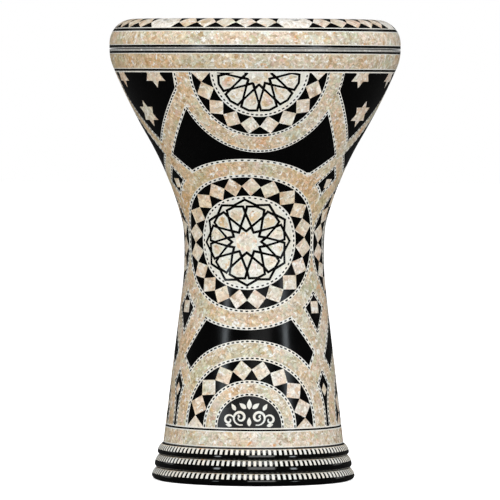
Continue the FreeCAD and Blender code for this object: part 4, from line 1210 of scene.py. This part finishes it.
def s_at(r):
    """Arc length where the cap's crown has radius r."""
    mask = RING.z >= 431.0
    return float(np.interp(r, RING.r[mask][::-1], RING.s[mask][::-1]))


HALF = 7.85
LOW_R, SIDE_R, HIGH_R, MOUTH_R = 134.2, 128.9, 113.8, 111.9
PATCH_TURNS = [16.7, 75.3, 136.5, 197.0, 257.5, 318.7]
for i in range(6):
    base = PATCH_TURNS[i]
    after = PATCH_TURNS[(i + 1) % 6] + (360.0 if i == 5 else 0.0)
    rput("patch", densify([(base - 5.0, S_CAP), (base + 5.0, S_CAP), (base + 5.0, s_at(134.2)), (base + HALF, s_at(SIDE_R)),
                           (base + 5.0, S_IN), (base - 5.0, S_IN), (base - HALF, s_at(SIDE_R)),
                           (base - 5.0, s_at(134.2))], 3.0, 2.2))
    w = (after - base - 2 * HALF) / 5.0
    for k in range(5):
        t = base + HALF + w * (k + 0.5)
        h = w / 2.0 * 1.01
        rput("diamond", densify([(t, s_at(LOW_R)), (t + h, s_at(SIDE_R)), (t, s_at(HIGH_R)), (t - h, s_at(SIDE_R))], 3.0, 2.2))
# screw holes through the patches
HOLES = []
hole_r, hole_c = 5.4, 120.5
for i in range(6):
    base = 17.5 + 60.0 * i
    pts = []
    for j in range(40):
        a = 2 * math.pi * j / 40
        r = hole_c + hole_r * math.cos(a)
        x = hole_r * math.sin(a)
        rr = math.hypot(r, x)
        pts.append((base + math.degrees(math.atan2(x, r)), s_at(rr)))
    rput("hole", pts)
th, s, tiles = cdt_tiles(RING, layers, (TH0, TH1, rz(412.05), S_END - 0.01), 2.0, 2.5, 2.2)
RP = {"cap": ("ring_cap_resin", "black", "ring_cap_ground"), "seam": ("ring_seam_strip", "seam", "ring_stringing"),
      "white": ("ring_ivory_strips", "ivory", "ring_stringing"), "line": ("ring_black_strips", "black", "ring_stringing"),
      "pearl": ("ring_band_of_pearl", "pearl_ring", "ring_pearl_band"),
      "patch": ("bolt_pearl_patches", "pearl_white", "bolt_patches"),
      "diamond": ("ring_pearl_diamonds", "pearl_tile", "ring_diamonds")}
for key, tris in tiles.items():
    if key == "hole":
        continue
    nm, mat, node = RP[key]
    c = Coat()
    c.tiles(RING, th, s, tris, 0.0, 0.9)
    ob = c.build(nm, mat, "tuning_ring")
    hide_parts(node)

# ================================================================ finish ====
NODE_MATS = {"cast_foot": "cast", "cast_waist": "cast", "cast_bowl": "cast", "cast_collar": "cast", "clamp_ring": "cast",
             "head_film": "film", "head_collar": "film", "head_hoop": "hoop",
             "head_resin": "glue", "bolt_washers": "zinc"}
for i in range(1, 7):
    NODE_MATS["tuning_bolt_%d" % i] = "steel"
for node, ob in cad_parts.items():
    key = NODE_MATS.get(node)
    if key is None:
        key = "bead" if "bead" in node else "black"
    for sl in ob.material_slots:
        sl.material = M[key]
    if not ob.material_slots:
        ob.data.materials.append(M[key])


# ================================================================= stage ====
def stage_obj(name, me, mat):
    me.materials.append(mat)
    ob = bpy.data.objects.new(name, me)
    bpy.context.scene.collection.objects.link(ob)
    return ob


fm = bpy.data.materials.new("pale_floor")
fm.use_nodes = True
nt = fm.node_tree
b = nt.nodes["Principled BSDF"]
v = coords(nt)
n1 = noise(nt, v, 3.0, 3.0, 0.5)
c = ramp(nt, [(0.3, (0.93, 0.93, 0.93)), (0.7, (0.96, 0.96, 0.96))])
link(nt, n1.outputs["Fac"], c.inputs["Fac"])
link(nt, c.outputs["Color"], b.inputs["Base Color"])
b.inputs["Roughness"].default_value = 0.9
b.inputs["Specular IOR Level"].default_value = 0.1
b.inputs["Emission Color"].default_value = (1.0, 1.0, 1.0, 1.0)
b.inputs["Emission Strength"].default_value = 0.80
# what the floor sends back to the drum is held down, as on a stand well below it
dim = nt.nodes.new("ShaderNodeBsdfDiffuse")
dim.inputs["Color"].default_value = (0.80, 0.80, 0.79, 1.0)
dark = nt.nodes.new("ShaderNodeBsdfDiffuse")
dark.inputs["Color"].default_value = (0.05, 0.05, 0.05, 1.0)
lp = nt.nodes.new("ShaderNodeLightPath")
mx = nt.nodes.new("ShaderNodeMixShader")
mxg = nt.nodes.new("ShaderNodeMixShader")
link(nt, lp.outputs["Is Glossy Ray"], mxg.inputs[0])
link(nt, dim.outputs[0], mxg.inputs[1])
link(nt, dark.outputs[0], mxg.inputs[2])
link(nt, lp.outputs["Is Camera Ray"], mx.inputs[0])
link(nt, mxg.outputs[0], mx.inputs[1])
link(nt, b.outputs[0], mx.inputs[2])
link(nt, mx.outputs[0], nt.nodes["Material Output"].inputs["Surface"])
me = bpy.data.meshes.new("floor")
R = 14.0
me.from_pydata([(-R, -R, 0.0), (R, -R, 0.0), (R, R, 0.0), (-R, R, 0.0)], [], [(0, 1, 2, 3)])
stage_obj("floor", me, fm)

world = bpy.data.worlds.new("studio")
bpy.context.scene.world = world
world.use_nodes = True
nt = world.node_tree
bg = nt.nodes["Background"]
bg.inputs["Color"].default_value = (1.0, 1.0, 1.0, 1.0)
bg.inputs["Strength"].default_value = 0.49
bg2 = nt.nodes.new("ShaderNodeBackground")
bg2.inputs["Color"].default_value = (1.0, 1.0, 1.0, 1.0)
bg2.inputs["Strength"].default_value = 1.0
bg3 = nt.nodes.new("ShaderNodeBackground")
bg3.inputs["Color"].default_value = (1.0, 1.0, 1.0, 1.0)
bg3.inputs["Strength"].default_value = 0.05
lp = nt.nodes.new("ShaderNodeLightPath")
mx = nt.nodes.new("ShaderNodeMixShader")
mx3 = nt.nodes.new("ShaderNodeMixShader")
link(nt, lp.outputs["Is Glossy Ray"], mx3.inputs[0])
link(nt, bg.outputs[0], mx3.inputs[1])
link(nt, bg3.outputs[0], mx3.inputs[2])
link(nt, lp.outputs["Is Camera Ray"], mx.inputs[0])
link(nt, mx3.outputs[0], mx.inputs[1])
link(nt, bg2.outputs[0], mx.inputs[2])
link(nt, mx.outputs[0], nt.nodes["World Output"].inputs["Surface"])


def softbox(name, az, dist, z, w, h, power, colour=(1.0, 1.0, 1.0), aim=0.22):
    """az: degrees from the camera's side, positive to the right."""
    L = bpy.data.lights.new(name, "AREA")
    L.shape = "RECTANGLE"
    L.size, L.size_y = w, h
    L.energy = power
    L.color = colour
    ob = bpy.data.objects.new(name, L)
    a = math.radians(az)
    ob.location = (dist * math.sin(a), -dist * math.cos(a), z)
    d = Vector((0.0, 0.0, aim)) - Vector(ob.location)
    ob.rotation_euler = d.to_track_quat("-Z", "Y").to_euler()
    bpy.context.scene.collection.objects.link(ob)
    return ob


softbox("strip_left", -43.0, 2.4, 0.52, 0.30, 0.62, 4.5, (0.86, 0.94, 1.0))
softbox("strip_right", 48.0, 2.4, 0.52, 0.30, 0.62, 4.5, (0.86, 0.94, 1.0))
softbox("top_soft", 0.0, 1.3, 3.0, 2.2, 1.6, 40.0)
softbox("front_fill", 10.0, 5.2, 2.2, 3.0, 1.6, 56.0)
softbox("rim_left", -120.0, 2.4, 1.2, 1.0, 1.5, 3.0)
softbox("rim_right", 120.0, 2.4, 1.2, 1.0, 1.5, 3.5)

cam = bpy.data.cameras.new("camera")
cam.sensor_width = 36.0
cam.lens = 378.5
cam_ob = bpy.data.objects.new("camera", cam)
cam_ob.location = (-0.0040, -5.03, 0.385)
d = Vector((-0.0040, 0.0, 0.2196)) - Vector(cam_ob.location)
cam_ob.rotation_euler = (d.to_track_quat("-Z", "Y") @ Quaternion((0.0, 0.0, 1.0), math.radians(0.25))).to_euler()
cam.clip_end = 60.0
bpy.context.scene.collection.objects.link(cam_ob)
bpy.context.scene.camera = cam_ob
bpy.context.scene.view_settings.view_transform = "Standard"
